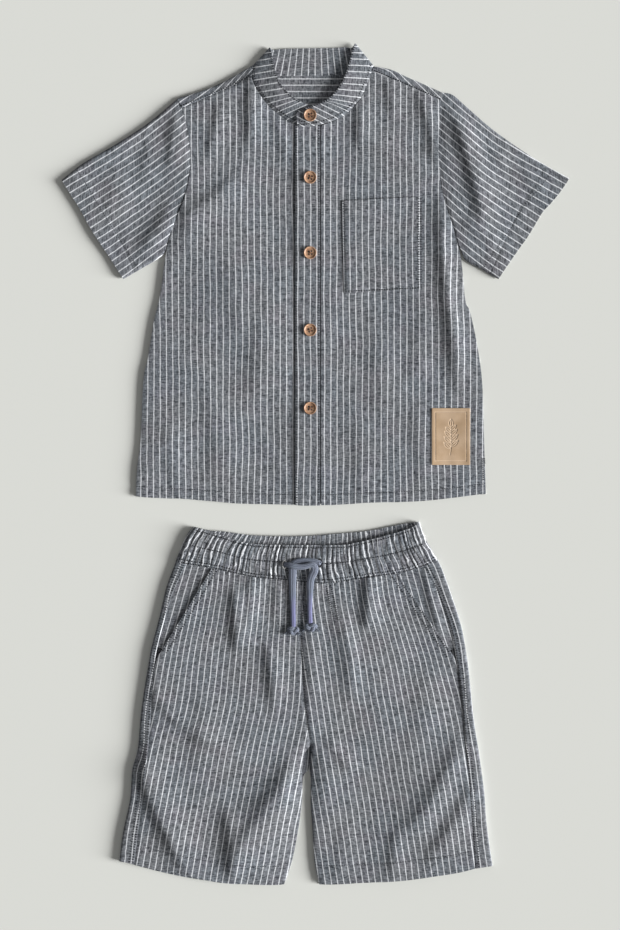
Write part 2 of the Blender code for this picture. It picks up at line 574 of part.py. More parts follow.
def chest_pocket(cloth):
    corner = POCKET_CORNERS
    plan = panel_plan(
        Edge([corner["top_left"], corner["top_right"]]), Edge([corner["foot_left"], corner["foot_right"]]),
        Edge([corner["top_left"], corner["foot_left"]]), Edge([corner["top_right"], corner["foot_right"]]),
        6, 6)
    laid_wall("chest_pocket", plan, lambda x, y: left_front_level(x, y) + WALL + POCKET_GAP, WALL, cloth)


def patch(leather):
    (width, height), (x, y) = PATCH_SIZE, PATCH_CENTRE
    left, right, top, foot = x - width / 2, x + width / 2, y + height / 2, y - height / 2
    plan = panel_plan(
        Edge([(left, top), (right, top)]), Edge([(left, foot), (right, foot)]),
        Edge([(left, top), (left, foot)]), Edge([(right, top), (right, foot)]), 4, 6)
    lift = WALL / 2 + PATCH_GAP + PATCH_WALL / 2
    laid_wall("patch", plan, lambda px, py: left_front_level(px, py) + lift, PATCH_WALL, leather)


def button(name, x, y, z, wood):
    """A turned disc with a raised rim and four holes."""
    dish = BUTTON_HEIGHT - BUTTON_DISH
    profile = [(0.0, 0.0), (BUTTON_RADIUS - BUTTON_ROUND, 0.0), (BUTTON_RADIUS, BUTTON_ROUND),
               (BUTTON_RADIUS, BUTTON_HEIGHT - BUTTON_ROUND), (BUTTON_RADIUS - BUTTON_ROUND, BUTTON_HEIGHT),
               (BUTTON_RADIUS - BUTTON_RIM, dish), (0.0, dish)]
    shape = bmesh.new()
    line = [shape.verts.new((r, 0.0, h)) for r, h in profile]
    edges = [shape.edges.new(pair) for pair in zip(line, line[1:])]
    bmesh.ops.spin(shape, geom=line + edges, cent=(0, 0, 0), axis=(0, 0, 1), angle=math.tau,
                   steps=BUTTON_STEPS, use_merge=True)
    bmesh.ops.remove_doubles(shape, verts=shape.verts, dist=1e-6)
    bmesh.ops.recalc_face_normals(shape, faces=shape.faces)
    mesh = bpy.data.meshes.new(name)
    shape.to_mesh(mesh)
    shape.free()
    piece = mesh_object(name, mesh, wood)
    piece.location = (x, y, z)
    holes = bmesh.new()
    for sx in (-1, 1):
        for sy in (-1, 1):
            made = bmesh.ops.create_cone(holes, cap_ends=True, segments=6, radius1=BUTTON_HOLE,
                                         radius2=BUTTON_HOLE, depth=3 * BUTTON_HEIGHT)
            bmesh.ops.translate(holes, verts=made["verts"],
                                vec=(sx * BUTTON_HOLE_PITCH, sy * BUTTON_HOLE_PITCH, 0.0))
    cutter_mesh = bpy.data.meshes.new(name + "_holes")
    holes.to_mesh(cutter_mesh)
    holes.free()
    cutter = bpy.data.objects.new(name + "_holes", cutter_mesh)
    bpy.context.scene.collection.objects.link(cutter)
    cutter.parent = piece
    cutter.hide_render = True
    cutter.display_type = "WIRE"
    cut = piece.modifiers.new("Holes", "BOOLEAN")
    cut.operation = "DIFFERENCE"
    cut.object = cutter


# Shorts

def shorts_back(name, inner, hem_sag, outer, side_seam, cloth):
    """A back leg panel lies below, turns over at the outer edge and ends at the side seam on top."""
    left_side = outer[0][0] < 0
    sign = 1 if left_side else -1
    turn = (SHORTS_CREST - BELOW) / 2
    inner_edge = inner.moved(-SEAM * sign)
    outer_edge, seam_edge = Edge(outer), Edge(side_seam)
    rows = []
    for r in range(BACK_ROWS + 1):
        v = r / BACK_ROWS
        start, fold, end = inner_edge.at(v), outer_edge.at(v), seam_edge.at(v)
        sag = hem_sag * v ** 8
        inset = between(fold, end, turn / math.dist(fold, end))
        row = []
        for k in range(BACK_COLUMNS + 1):
            x, y = between(start, inset, k / BACK_COLUMNS)
            row.append((x, y - sag * math.sin(math.pi * k / BACK_COLUMNS), BELOW))
        row.append((*fold, BELOW + turn))
        row.append((*inset, BELOW + 2 * turn))
        short = between(end, fold, SEAM / math.dist(fold, end))
        row.append((*short, SHORTS_CREST))
        rows.append(row)
    wall_of_rows(name, rows if not left_side else rows[::-1], WALL, cloth)


def shorts_fronts(cloth):
    waist_right = Edge([(-0.112, -0.1135), (-0.069, -0.123), (-0.038, -0.126), (-0.013, -0.1285)])
    waist_left = Edge([(-0.013, -0.1285), (0.013, -0.130), (0.059, -0.1235), (0.089, -0.1195)])
    right = panel_plan(
        waist_right.moved(-SEAM), Edge(LEG_HEM_RIGHT[1:]),
        Edge(MOUTH_RIGHT, SIDE_SEAM_RIGHT[4:]).moved(SEAM),
        Edge(CENTRE_SEAM + INSEAM_RIGHT).moved(-SEAM), 12, 20)
    laid_wall("shorts_front_right", right, shorts_front_level, WALL, cloth)
    left = panel_plan(
        waist_left.moved(-SEAM), Edge(LEG_HEM_LEFT[:-1]),
        Edge(CENTRE_SEAM + INSEAM_LEFT).moved(SEAM),
        Edge(MOUTH_LEFT, SIDE_SEAM_LEFT[3:]).moved(-SEAM), 12, 20)
    laid_wall("shorts_front_left", left, shorts_front_level, WALL, cloth)


def pocket_facings(cloth):
    """The cloth behind each slanted pocket mouth, from the side seam to just below the front."""
    for name, mouth, seam, sign in (("pocket_facing_right", MOUTH_RIGHT, SIDE_SEAM_RIGHT[:4], 1),
                                    ("pocket_facing_left", MOUTH_LEFT, SIDE_SEAM_LEFT[:4], -1)):
        outer = Edge(seam).moved(-sign * FACING_INSET)
        inner = Edge([(x + sign * FACING_UNDER, y) for x, y in mouth])
        left, right = (outer, inner) if sign > 0 else (inner, outer)
        top, foot = Edge([left.at(0), right.at(0)]), Edge([left.at(1), right.at(1)])
        plan = panel_plan(top.moved(-FACING_DROP), foot, left, right, 3, 6)
        laid_wall(name, plan, lambda x, y: FACING_LEVEL, FACING_WALL, cloth)


def gather_wave(share):
    """The band's gathers: a wave of uneven pitch and height across the band."""
    phase = math.tau * (BAND_GATHERS * share + 0.55 * math.sin(math.tau * 3.1 * share)
                        + 0.30 * math.sin(math.tau * 7.3 * share + 1.0))
    return math.sin(phase) * (0.72 + 0.28 * math.sin(math.tau * 5.7 * share + 0.6))


def waistband(cloth):
    columns = BAND_GATHERS * 4
    ends = Edge(BAND_SIDE_RIGHT), Edge(BAND_SIDE_LEFT)
    last = len(FRONT_GATHERS) - 1
    front = panel_plan(Edge(BAND_TOP), Edge(WAIST_SEAM).moved(SEAM), *ends, columns, last)
    rows = []
    for r, line in enumerate(front):
        row = []
        for c, (x, y) in enumerate(line):
            inside = min(end.distance(x, y) for end in ends)
            level = BAND_END_LEVEL + (BAND_LEVEL - BAND_END_LEVEL) * rounded(inside / BAND_ROUND)
            if r == last:
                level -= BAND_FOOT_DROP * eased(inside / BAND_ROUND)
            wave = GATHER_HEIGHT * FRONT_GATHERS[r] * gather_wave(c / columns)
            row.append((x, y, level + wave * eased(inside / GATHER_START)))
        rows.append(row)
    wall_of_rows("waistband_front", rows, BAND_WALL, cloth)

    back = panel_plan(Edge(BAND_BACK_TOP), Edge(BACK_WAIST_SEAM).moved(SEAM), *ends, columns,
                      len(BACK_GATHERS) - 1)
    height = {}
    for r, line in enumerate(back):
        for c, point in enumerate(line):
            inside = min(end.distance(*point) for end in ends)
            wave = 0.5 * GATHER_HEIGHT * BACK_GATHERS[r] * (1 + gather_wave(c / columns))
            height[point] = BAND_WALL + wave * eased(inside / GATHER_START)
    slab("waistband_back", back, lambda x, y: height[(x, y)], lambda x, y: 0.0, cloth)


def cord(name, route, material):
    """A flat tube along the route."""
    points = through(route, 2)
    vertices = []
    for i, (x, y, z, width) in enumerate(points):
        before, after = points[max(i - 1, 0)], points[min(i + 1, len(points) - 1)]
        way = Vector(after[:3]) - Vector(before[:3])
        side = way.cross(Vector((0.0, 0.0, 1.0))).normalized()
        up = side.cross(way).normalized()
        for k in range(CORD_SIDES):
            angle = math.tau * k / CORD_SIDES
            vertices.append(Vector((x, y, z)) + side * (width / 2 * math.cos(angle))
                            + up * (CORD_HEIGHT / 2 * math.sin(angle)))
    faces = [tuple(range(CORD_SIDES)), tuple(reversed(range(len(vertices) - CORD_SIDES, len(vertices))))]
    for i in range(len(points) - 1):
        for k in range(CORD_SIDES):
            a, b = i * CORD_SIDES + k, i * CORD_SIDES + (k + 1) % CORD_SIDES
            faces.append((a, a + CORD_SIDES, b + CORD_SIDES, b))
    mesh = bpy.data.meshes.new(name)
    mesh.from_pydata(vertices, [], faces)
    mesh_object(name, mesh, material)


def end_knot(name, route, material):
    """The small overhand knot at a cord's end, a squat ball against the cord's last point."""
    x, y, z, _ = route[-1]
    shape = bmesh.new()
    bmesh.ops.create_uvsphere(shape, u_segments=12, v_segments=7, radius=END_KNOT_RADIUS)
    bmesh.ops.scale(shape, verts=shape.verts, vec=END_KNOT_SHAPE)
    mesh = bpy.data.meshes.new(name)
    shape.to_mesh(mesh)
    shape.free()
    piece = mesh_object(name, mesh, material)
    piece.location = (x, y - END_KNOT_RADIUS * END_KNOT_SHAPE[1] - END_KNOT_GAP, z)


def main():
    clear_scene()
    cloth = cloth_material("striped_cloth", (0.19, 0.20, 0.23), 0.9)
    wood = cloth_material("wood", (0.30, 0.16, 0.09), 0.45)
    leather = cloth_material("patch_leather", (0.48, 0.34, 0.22), 0.7)
    cord_cotton = cloth_material("cord_cotton", (0.15, 0.18, 0.25), 0.9)

    shirt_back(cloth)
    shirt_yoke(cloth)
    shirt_fronts(cloth)
    shirt_placket(cloth)
    collar_band(cloth)
    sleeve("sleeve_right", SLEEVE_TOP_RIGHT, SLEEVE_UNDER_RIGHT, ARMHOLE_RIGHT, CUFF_RIGHT, 9, 10, cloth)
    sleeve("sleeve_left", SLEEVE_TOP_LEFT, SLEEVE_UNDER_LEFT, ARMHOLE_LEFT, CUFF_LEFT, 9, 10, cloth)
    chest_pocket(cloth)
    patch(leather)
    button("button_1", BUTTON_X, TOP_BUTTON_Y, TOP_BUTTON_Z, wood)
    for i, y in enumerate(PLACKET_BUTTONS_Y):
        button(f"button_{i + 2}", BUTTON_X, y, PLACKET_LEVEL + DOUBLE / 2 + GAP, wood)

    shorts_back("shorts_back_right", Edge(BACK_CENTRE + BACK_INSEAM_RIGHT), HEM_SAG_RIGHT,
                LEG_OUTER_RIGHT, SIDE_SEAM_RIGHT, cloth)
    shorts_back("shorts_back_left", Edge(BACK_CENTRE + BACK_INSEAM_LEFT), HEM_SAG_LEFT,
                LEG_OUTER_LEFT, SIDE_SEAM_LEFT, cloth)
    shorts_fronts(cloth)
    pocket_facings(cloth)
    waistband(cloth)
    cord("drawcord_right", RIGHT_CORD, cord_cotton)
    cord("drawcord_left", LEFT_CORD, cord_cotton)
    end_knot("cord_knot_right", RIGHT_CORD, cord_cotton)
    end_knot("cord_knot_left", LEFT_CORD, cord_cotton)


main()
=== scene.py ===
"""Finishes, sewing, cords, light and camera for a child's striped shirt and shorts, laid flat.

Metres, and millimetres where points and creases are listed. +X is to the right as seen from above, +Y is
towards the collar, +Z is up. Right and left in the names are the wearer's, so a right piece is at -X.
"""

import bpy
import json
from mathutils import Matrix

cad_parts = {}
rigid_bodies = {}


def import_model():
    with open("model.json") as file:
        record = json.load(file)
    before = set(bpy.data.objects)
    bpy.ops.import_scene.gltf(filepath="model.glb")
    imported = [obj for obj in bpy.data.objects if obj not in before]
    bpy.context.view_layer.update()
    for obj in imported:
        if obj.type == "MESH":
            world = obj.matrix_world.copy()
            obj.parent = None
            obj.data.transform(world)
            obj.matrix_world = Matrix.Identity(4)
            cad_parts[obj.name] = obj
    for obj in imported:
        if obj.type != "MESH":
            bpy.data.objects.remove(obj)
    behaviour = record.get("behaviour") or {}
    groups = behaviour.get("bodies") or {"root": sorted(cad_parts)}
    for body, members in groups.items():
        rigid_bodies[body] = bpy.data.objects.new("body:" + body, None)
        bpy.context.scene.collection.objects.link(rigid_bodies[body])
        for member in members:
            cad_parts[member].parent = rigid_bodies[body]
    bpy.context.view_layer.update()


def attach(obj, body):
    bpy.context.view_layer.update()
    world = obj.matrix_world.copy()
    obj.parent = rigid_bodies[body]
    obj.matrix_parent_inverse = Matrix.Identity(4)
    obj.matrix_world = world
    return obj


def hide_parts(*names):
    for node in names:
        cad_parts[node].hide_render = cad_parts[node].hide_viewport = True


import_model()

import json
import math

import bmesh
import bpy
import numpy as np
from mathutils import Matrix, Vector
from mathutils.bvhtree import BVHTree


def path(*numbers):
    """Points from their x and y in millimetres, one after another."""
    return [(x / 1000, y / 1000) for x, y in zip(numbers[::2], numbers[1::2])]


def table(*rows):
    """Rows of measures in metres, from their millimetres."""
    return [tuple(value / 1000 for value in row) for row in rows]


# Cloth and layers: WALL and GAP are the solids' own, and the other measures are near theirs
CLOTH = 0.00060              # thickness of the shells
DOUBLE = 0.00110             # thickness of a folded band
WALL = 0.0010                # thickness of the solids' walls
GAP = 0.00035                # between two layers
LOW = 0.00270                # height of the upper layer at its side edges
SLEEVE_TURN = 0.0014         # half of the sleeve's height at its folded edges
SHIRT_CREST = 0.0032         # and away from them
SHORTS_CREST = 0.0042
EDGE_ROUND = 0.022           # over what width it rises
LIGHT_FROM = (0.985, -0.174)  # where the light comes from, seen from above

# Shirt edges, as points in plan
ARMHOLE_RIGHT = path(-148, 393, -142, 377, -137, 356, -134, 324, -139, 292, -147, 270, -154, 254)
ARMHOLE_LEFT = path(137, 399, 135, 391, 133, 371, 132, 332, 135, 303, 140, 278, 147, 257, 152, 239)
SIDE_RIGHT = path(-154, 254, -161, 225, -167, 182, -174, 152, -180, 115, -185, 90, -188, 25, -192, -6, -193,
                  -35)
SIDE_LEFT = path(152, 239, 157, 217, 161, 176, 166, 164, 173, 132, 179, 90, 181, 33, 183, -32)
SHOULDER_RIGHT = path(-148, 393, -107, 407, -67.5, 428.5)
SHOULDER_LEFT = path(62.5, 427.5, 81, 424, 96, 417, 110, 411, 137, 399)
YOKE_SEAM_RIGHT = path(-143.6, 383.5, -92, 405, -69, 417)
YOKE_SEAM_LEFT = path(60.5, 422.5, 96, 408, 135.2, 390.5)
NECK_RIGHT = path(-69, 417, -65, 405.5, -52, 386.5, -36, 373, -23, 366.2, 2, 361)
NECK_LEFT = path(60.5, 422.5, 56, 408.8, 48.5, 392, 36.6, 379.5, 23, 370.2, 6, 363.5)
NECK_BACK = path(-67.5, 428.5, -56, 422.5, -42.5, 419, -4.8, 419, 33.9, 420.2, 50, 422.8, 62.5, 427.5)
BACK_YOKE_Y = 0.354
HEM_RIGHT = path(-193, -35, -122, -39, -73, -42.5, 2, -44.5)
HEM_LEFT = path(6, -44.5, 33, -43, 82, -41, 132, -38, 183, -32)
HEM_BACK = path(-193, -35, -73, -41.5, -6, -43.5, 82, -40, 183, -32)
SHIRT_HEM = 0.0108           # depth of the turned hem
SLEEVE_HEM = 0.020

SLEEVE_TOP_RIGHT = path(-148, 393, -179, 367, -214, 344, -250, 323, -273, 305)
SLEEVE_UNDER_RIGHT = path(-154.5, 254, -159.5, 238.5, -164.5, 225, -183, 213, -207, 199)
CUFF_RIGHT = path(-273, 305, -262, 288, -245, 259, -226, 229, -207, 199)
SLEEVE_TOP_LEFT = path(137, 399, 147, 397, 161, 385, 191, 359, 228, 333, 249, 320, 273, 307)
SLEEVE_UNDER_LEFT = path(152.5, 239, 157.2, 228.5, 162, 219, 178, 210, 197, 199)
CUFF_LEFT = path(273, 307, 255, 282, 243, 269, 227, 243, 218, 230, 197, 199)

# Placket, pocket, patch and buttons
PLACKET_EDGE_X = -0.0215
PLACKET_SEAM_X = 0.0050
PLACKET_TOP_Y = 0.3650
PLACKET_FOOT_Y = -0.0445
PLACKET_LEVEL = 0.0037
UNDER_PLACKET_LEVEL = 0.0021
PLACKET_SLOPE = 0.020
PLACKET_CLEAR = 0.0012       # the right front dips below the placket's edge over a short way
UNDER_SLOPE = 0.0052
POCKET_GAP = 0.0006
POCKET_CORNERS = {"top_left": (0.0285, 0.283), "top_right": (0.1140, 0.287),
                  "foot_left": (0.0310, 0.184), "foot_right": (0.1140, 0.188)}
POCKET_HEM = 0.018
PATCH_SIZE = (0.041, 0.061)
PATCH_CENTRE = (0.1455, 0.0295)
PATCH_WALL = 0.0008
PATCH_GAP = 0.0002
BUTTON_RADIUS = 0.0068
BUTTON_HEIGHT = 0.0019
BUTTON_RIM = 0.0013
BUTTON_DISH = 0.0009
BUTTON_HOLE = 0.00112
BUTTON_HOLE_PITCH = 0.0015
PLACKET_BUTTONS_Y = (0.308, 0.227, 0.144, 0.060)
BUTTON_X = -0.0058
TOP_BUTTON_Y = 0.3745
TOP_BUTTON_Z = 0.0061

# Collar band, from its hidden right end round the back to its left end on top.
# Each row is a point on the neckline and the point above it on the free edge.
COLLAR_ROWS = table(
    (7, 364.8, 2.1, 7, 383.8, 2.5),
    (-5.9, 365.6, 2.2, -4.8, 385.1, 2.9),
    (-22, 368.2, 2.9, -12.9, 388.1, 4.2),
    (-34.4, 374.9, 3.2, -25.3, 395.1, 5.4),
    (-50.2, 388, 3.3, -37.6, 408.5, 6),
    (-63.3, 406.3, 3.3, -43.5, 423.5, 5.8),
    (-67, 418.2, 3.3, -45.9, 435.4, 5.2),
    (-66.2, 425.7, 3.1, -47.2, 442.9, 4.4),
    (-65.2, 430, 2, -48.9, 447.6, 2.6),
    (-61.5, 427.5, 0.9, -45.7, 445.5, 1),
    (-54.3, 423.2, 0.8, -33.9, 446.6, 0.8),
    (-42.5, 420.3, 0.8, -24.2, 446.9, 0.8),
    (-4.8, 420.3, 0.8, -2.7, 447.2, 0.8),
    (33.9, 421.6, 0.8, 18.8, 447.6, 0.8),
    (48.9, 424.3, 0.8, 31.7, 448.3, 0.8),
    (57.5, 426.8, 0.9, 38.8, 447.6, 1),
    (61, 429.2, 2, 42.5, 452, 2.6),
    (59.8, 424.6, 3.1, 39.9, 445, 4.4),
    (58.3, 419.3, 3.3, 37.7, 436.5, 5.2),
    (54.3, 409.6, 3.3, 33.9, 423.5, 5.8),
    (47, 393.5, 3.4, 27.4, 408.5, 6.2),
    (35.4, 381.2, 3.5, 18.8, 396.7, 5.9),
    (22, 372.2, 3.8, 7, 388.8, 5.4),
    (0.5, 365.4, 4.3, -4.8, 384.5, 5.2),
    (-14.5, 363.6, 4.6, -15.6, 381.4, 5),
    (-19.7, 364, 4.7, -20.3, 376.9, 4.9))
COLLAR_TUCK_DROP = 0.0007    # how far the band goes down below the neckline

# Shorts edges
LEG_OUTER_RIGHT = path(-150, -105, -160, -132, -168, -166, -176, -196, -180, -218, -187, -264, -191, -306,
                       -197, -329, -199, -359, -207, -397, -211, -427)
SIDE_SEAM_RIGHT = path(-138.5, -106.8, -153, -138, -163, -170, -170, -196, -173, -218, -179, -296, -183, -336,
                       -189, -383, -195, -430)
LEG_OUTER_LEFT = path(131, -102.8, 137, -116, 149, -150, 157, -177, 163, -211, 167, -247, 170, -276, 176,
                      -314, 181, -352, 184, -389, 190, -432)
SIDE_SEAM_LEFT = path(116, -109.6, 131, -138, 144, -173, 149, -196, 156, -241, 160, -286, 164, -329, 166,
                      -359, 169, -397, 171, -435)
MOUTH_RIGHT = path(-111.2, -111.8, -166, -201.5)
MOUTH_LEFT = path(88, -117.8, 147.5, -205)
CENTRE_SEAM = path(-13, -126.8, -15.5, -168, -16, -192, -12, -256, -8, -288)
INSEAM_RIGHT = path(-5.5, -302, -11.5, -311, -14.5, -329, -14.5, -359, -18, -389, -25, -425, -34, -452)
INSEAM_LEFT = path(-4.8, -302, -4.2, -314, -4.5, -344, -4.5, -367, -3, -397, -1, -427, 4, -452)
BACK_CENTRE = path(-8, -119.5, -7, -200, -6.5, -290, -7.2, -326)
BACK_INSEAM_RIGHT = path(-13, -336, -15, -359, -18, -389, -25, -425, -34, -452)
BACK_INSEAM_LEFT = path(-5.2, -338, -5, -367, -3, -397, -1, -427, 4, -452)
LEG_HEM_RIGHT = path(-195, -430, -164, -437, -126, -445, -96, -450, -51, -452.5, -34, -452)
LEG_HEM_LEFT = path(4, -452, 59, -450, 104, -446, 149, -440, 171, -435)
HEM_SAG_RIGHT = 0.008
HEM_SAG_LEFT = 0.005
LEG_HEM = 0.0200
WAIST_SEAM = path(-150, -105.5, -135, -109, -112, -112.5, -69, -122, -38, -125, -13, -127.5, 13, -129, 59,
                  -122.5, 89, -118.5, 117, -110.5, 131, -103.5)
BACK_WAIST_SEAM = path(-150, -105, -79, -110.5, -8, -116, 61.5, -109.5, 131, -103)
BAND_TOP = path(-131, -68, -101, -77, -69, -86, -17, -87.5, 28, -87.5, 44, -85, 74, -78, 103, -69, 111, -62.5)
BAND_BACK_TOP = path(-131, -66.5, -111, -71, -96, -72, -66, -76, -17, -77, 28, -74, 59, -71, 89, -65, 111,
                     -61.5)
BAND_SIDE_RIGHT = path(-131, -67.5, -140, -80, -150, -105)
BAND_SIDE_LEFT = path(111, -62, 119, -83, 131, -103)
FACING_LEVEL = 0.0033
FACING_UNDER = 0.010         # how far the facings run on below the front
FACING_INSET = 0.003
FACING_RISE = 0.0004
FACING_FOLD = table((116.5, -110, 134.5, -190, 0, 4, 9, 1.8))   # as the creases' rows

# Waistband
BAND_WALL = 0.0016
BAND_LEVEL = 0.0052
BAND_END_LEVEL = BAND_WALL * 1.5 + GAP
BAND_ROUND = 0.0060
BAND_FOOT_DROP = 0.0010
BAND_GATHERS = 50
GATHER_HEIGHT = 0.00042
GATHER_START = 0.0035
BAND_STITCH = 0.47           # where the middle stitch line runs, as a share of the band's height
BAND_FULLNESS = 1.36         # cloth in the gathered band for each metre of it

# Drawcord, along its solids but lower and thinner
CORD_HEIGHT = 0.0032
CORD_SIDES = 24
# x, y, z, width: from the right eyelet over the other cord and down at the middle
RIGHT_CORD = table(
    (-31.8, -107.9, 8, 5.6),
    (-28.6, -108.3, 9.4, 6.2),
    (-24.2, -109.3, 10.3, 6.4),
    (-17.7, -110.3, 10.3, 6.4),
    (-11.3, -109.8, 10.3, 6.2),
    (-5.4, -108.2, 10.3, 6.4),
    (-1.4, -110, 10.1, 7.6),
    (-1.4, -114.8, 9.4, 8.4),
    (-4, -120.4, 8.3, 8.4),
    (-5.7, -127.9, 7.1, 7.8),
    (-6, -140.8, 6.2, 6.4),
    (-6.3, -154.8, 6, 5.8),
    (-6, -170.2, 6.1, 5.6))
# from the left eyelet under the other cord and down beside it
LEFT_CORD = table(
    (3.6, -106, 7.4, 5.8),
    (-0.5, -104.7, 7.4, 6.2),
    (-7, -104, 7.3, 6.2),
    (-14.5, -104, 7.3, 6.2),
    (-20.4, -105.2, 7.3, 6.6),
    (-24, -108.8, 7.3, 8),
    (-24.5, -115, 7.2, 8.6),
    (-24.7, -126.9, 6.6, 8),
    (-24.8, -138, 6.2, 7.4),
    (-24.4, -155, 6, 6),
    (-24, -174.2, 6.1, 5.6))
EYELETS = {"right": (-0.0334, -0.1080), "left": (0.0048, -0.1063)}
EYELET_SIZE = (0.0021, 0.0042)   # half of its width and height, to the middle of its stitching
EYELET_STITCHES = 34
KNOTS = {"right": (-0.0048, -0.1752), "left": (-0.0242, -0.1786)}
KNOT_LEVEL = 0.0064
KNOT_SIZE = (0.00175, 0.00100, 0.00075)
KNOT_CORD = 0.00195

# Creases, in millimetres: x and y of both ends, how far each bends towards the light, the width of its
# shaded and of its lit side, and its height
SHIRT_CREASES = table(
    (134.5, 282, 155, 78, -2, 7.8, 12, 4),
    (-168, 246, -72, 318, 4, 8.5, 20, 2.4),
    (-69, 428, -71, 335, 0, 5.5, 12, 2.6),
    (-102, 388, -115, 330, 0, 5, 14, 1.6),
    (-45, 376, -30, 318, 2, 4.5, 9, 1),
    (47, 390, 46.5, 338, 0, 4.5, 12, 1.9),
    (76, 412, 83, 372, 1, 5, 12, 1.3),
    (112, 400, 130, 322, 2, 6, 10, 2.1),
    (50, 352, 128, 308, 0, 6, 12, 1),
    (-118, 90, -104, -22, 3, 9, 18, 1.1),
    (-55, 190, -68, 60, 2, 10, 20, 1),
    (-160, 50, -150, -30, 0, 7, 15, 1.3),
    (-95, 230, -80, 130, 2, 11, 20, 1),
    (120, 165, 104, 85, 0, 9, 16, 1.1),
    (62, 150, 74, 30, 3, 12, 20, 0.8),
    (108, 60, 116, -30, 0, 7, 15, 1.1),
    (44, 60, 50, -34, 0, 8, 16, 0.8),
    (-20, -44, -60, 30, 2, 7, 12, 0.6))
SLEEVE_CREASES = table(
    (149, 377, 182, 256, 2, 6.5, 20, 4.3),
    (186, 352, 206, 318, 0, 7, 16, 1.6),
    (160, 262, 196, 232, 0, 6, 14, 1.9),
    (222, 325, 242, 285, 0, 8, 18, 1.1),
    (-152, 385, -157, 312, 1, 5.5, 15, 1.9),
    (-176, 352, -186, 300, 0, 7, 16, 1.4),
    (-152, 278, -188, 226, 1, 9, 14, 2.9),
    (-210, 325, -222, 262, 0, 9, 20, 1))
SHORTS_CREASES = table(
    (-87, -132, -84.5, -204, 0, 5.5, 16, 3.4),
    (-69, -120, -70.5, -170, 0, 4, 10, 1.6),
    (-53, -192, -45, -265, 2, 6, 13, 2.6),
    (-40, -128, -43, -170, 0, 4.5, 10, 1.1),
    (-8, -130, -3.5, -275, 0, 5, 12, 1.3),
    (-2, -302, -88, -432, -3, 13, 33, 5.2),
    (-176, -248, -66, -318, -10, 6, 12, 2),
    (-200, -300, -136, -440, -3, 8, 22, 4.4),
    (-96, -368, -89, -448, 2, 8, 19, 3.6),
    (-118, -245, -130, -330, 2, 11, 20, 1.3),
    (57, -116, 55.5, -180, 0, 6.5, 16, 4),
    (29, -160, 41, -258, 2, 11, 8, 2.1),
    (78, -124, 83, -160, 0, 4.5, 11, 1.3),
    (10, -296, 42, -333, 0, 4, 10, 1.6),
    (161, -290, 93, -402, 6, 9.5, 14, 2.6),
    (173, -338, 118, -430, 4, 7.5, 13, 2.1),
    (86, -392, 83, -449, 0, 7, 13, 1.9),
    (124, -215, 116, -300, -3, 12, 20, 1.3),
    (30, -390, 28, -448, 0, 8, 15, 1.1))
GAPE_RIGHT = 0.0007          # how far the pocket mouths stand open
GAPE_LEFT = 0.0012

# Stripes, stitches, seams and steps
STRIPE_PITCH = 0.0068
STITCH_RADIUS = 0.00078      # of the sewing thread
SEAM_FLOOR = 0.00045         # depth of the valley at a seam
SEAM_WIDTH = 0.0011
ARMHOLE_FLOOR = 0.00010
SLEEVE_DROP = 0.00060        # how far the sleeves dip where they meet the body
SLEEVE_DROP_WIDTH = 0.0040
ARMHOLE_LAP = 0.0005         # how far the sleeves run on below the armhole's edge
EDGE_STEPS = (0.0006, 0.0015, 0.0030)
CLOSEST = 0.0004             # no two rows of a panel's vertices are closer
HEM_WANDER = 0.0007
PUCKER_HEIGHT = 0.00042
FINE_STEP = 0.0026           # between the vertices of the panels that show
SLEEVE_STEP = 0.0028
FLAT_PART = 15               # rows of the yoke that lie below
YOKE_FRONT_STEPS = (0.0, 0.12, 0.28, 0.44, 0.6, 0.76, 0.88, 0.95, 1.0)   # from the shoulder to the front seam
CORD_CAP = ((0.35, 0.90), (0.60, 0.66), (0.72, 0.30))   # how a cord's end closes: how far out, how wide
THREAD_REACH = 0.00235       # half of the length of a button's thread
STITCH_LENGTH = 0.0012
STITCH_GAP = 0.0015
POCKET_INSET = 0.0015        # the pocket's stitches from its edge
KNOT_THREADS = 110
LOOSE_THREAD = 0.00030       # half of its thickness
HEM_THREAD = 0.5             # the hems' thread beside that of the other seams
BUTTON_TURNS = (8, -14, 5, 21, -6)

# How the stripes slope on the collar, as y and slope. Where they run on the legs, as y, x of the middle
# stripe and spread, and on the sleeves
COLLAR_GUIDE_RIGHT = [(0.356, 0.50), (0.374, 0.42), (0.386, 0.27), (0.396, 0.13), (0.410, 0.15),
                      (0.450, 0.13)]
COLLAR_GUIDE_LEFT = [(0.356, -0.50), (0.374, -0.46), (0.386, -0.17), (0.395, -0.08), (0.410, -0.04),
                     (0.450, 0.00)]
LEG_GUIDE_RIGHT = [
    (-0.100, -0.0135, 0.80), (-0.150, -0.0138, 0.86), (-0.200, -0.0150, 0.93), (-0.255, -0.0165, 0.98),
    (-0.300, -0.0240, 1.00), (-0.350, -0.0340, 1.00), (-0.400, -0.0440, 1.00), (-0.460, -0.0545, 1.00)]
LEG_GUIDE_LEFT = [
    (-0.100, -0.0110, 0.82), (-0.150, -0.0080, 0.88), (-0.200, -0.0010, 0.95), (-0.255, 0.0070, 0.99),
    (-0.300, 0.0145, 1.00), (-0.350, 0.0225, 1.00), (-0.400, 0.0305, 1.00), (-0.460, 0.0395, 1.00)]
SLEEVE_GUIDE_RIGHT = path(-290, 200, -240, 231, -200, 257, -160, 286, -125, 313)
SLEEVE_GUIDE_LEFT = path(125, 326, 150, 304, 175, 283.5, 210, 260, 290, 213)
SLEEVE_STRIPE_LEAN = 0.815


# Lines, plans and heights

def eased(share):
    share = np.clip(share, 0.0, 1.0)
    return share * share * (3.0 - 2.0 * share)


def rounded(share):
    """A quarter circle's rise, from 0 at 0 to 1 at 1 and above."""
    return np.sqrt(1.0 - (1.0 - np.clip(share, 0.0, 1.0)) ** 2)


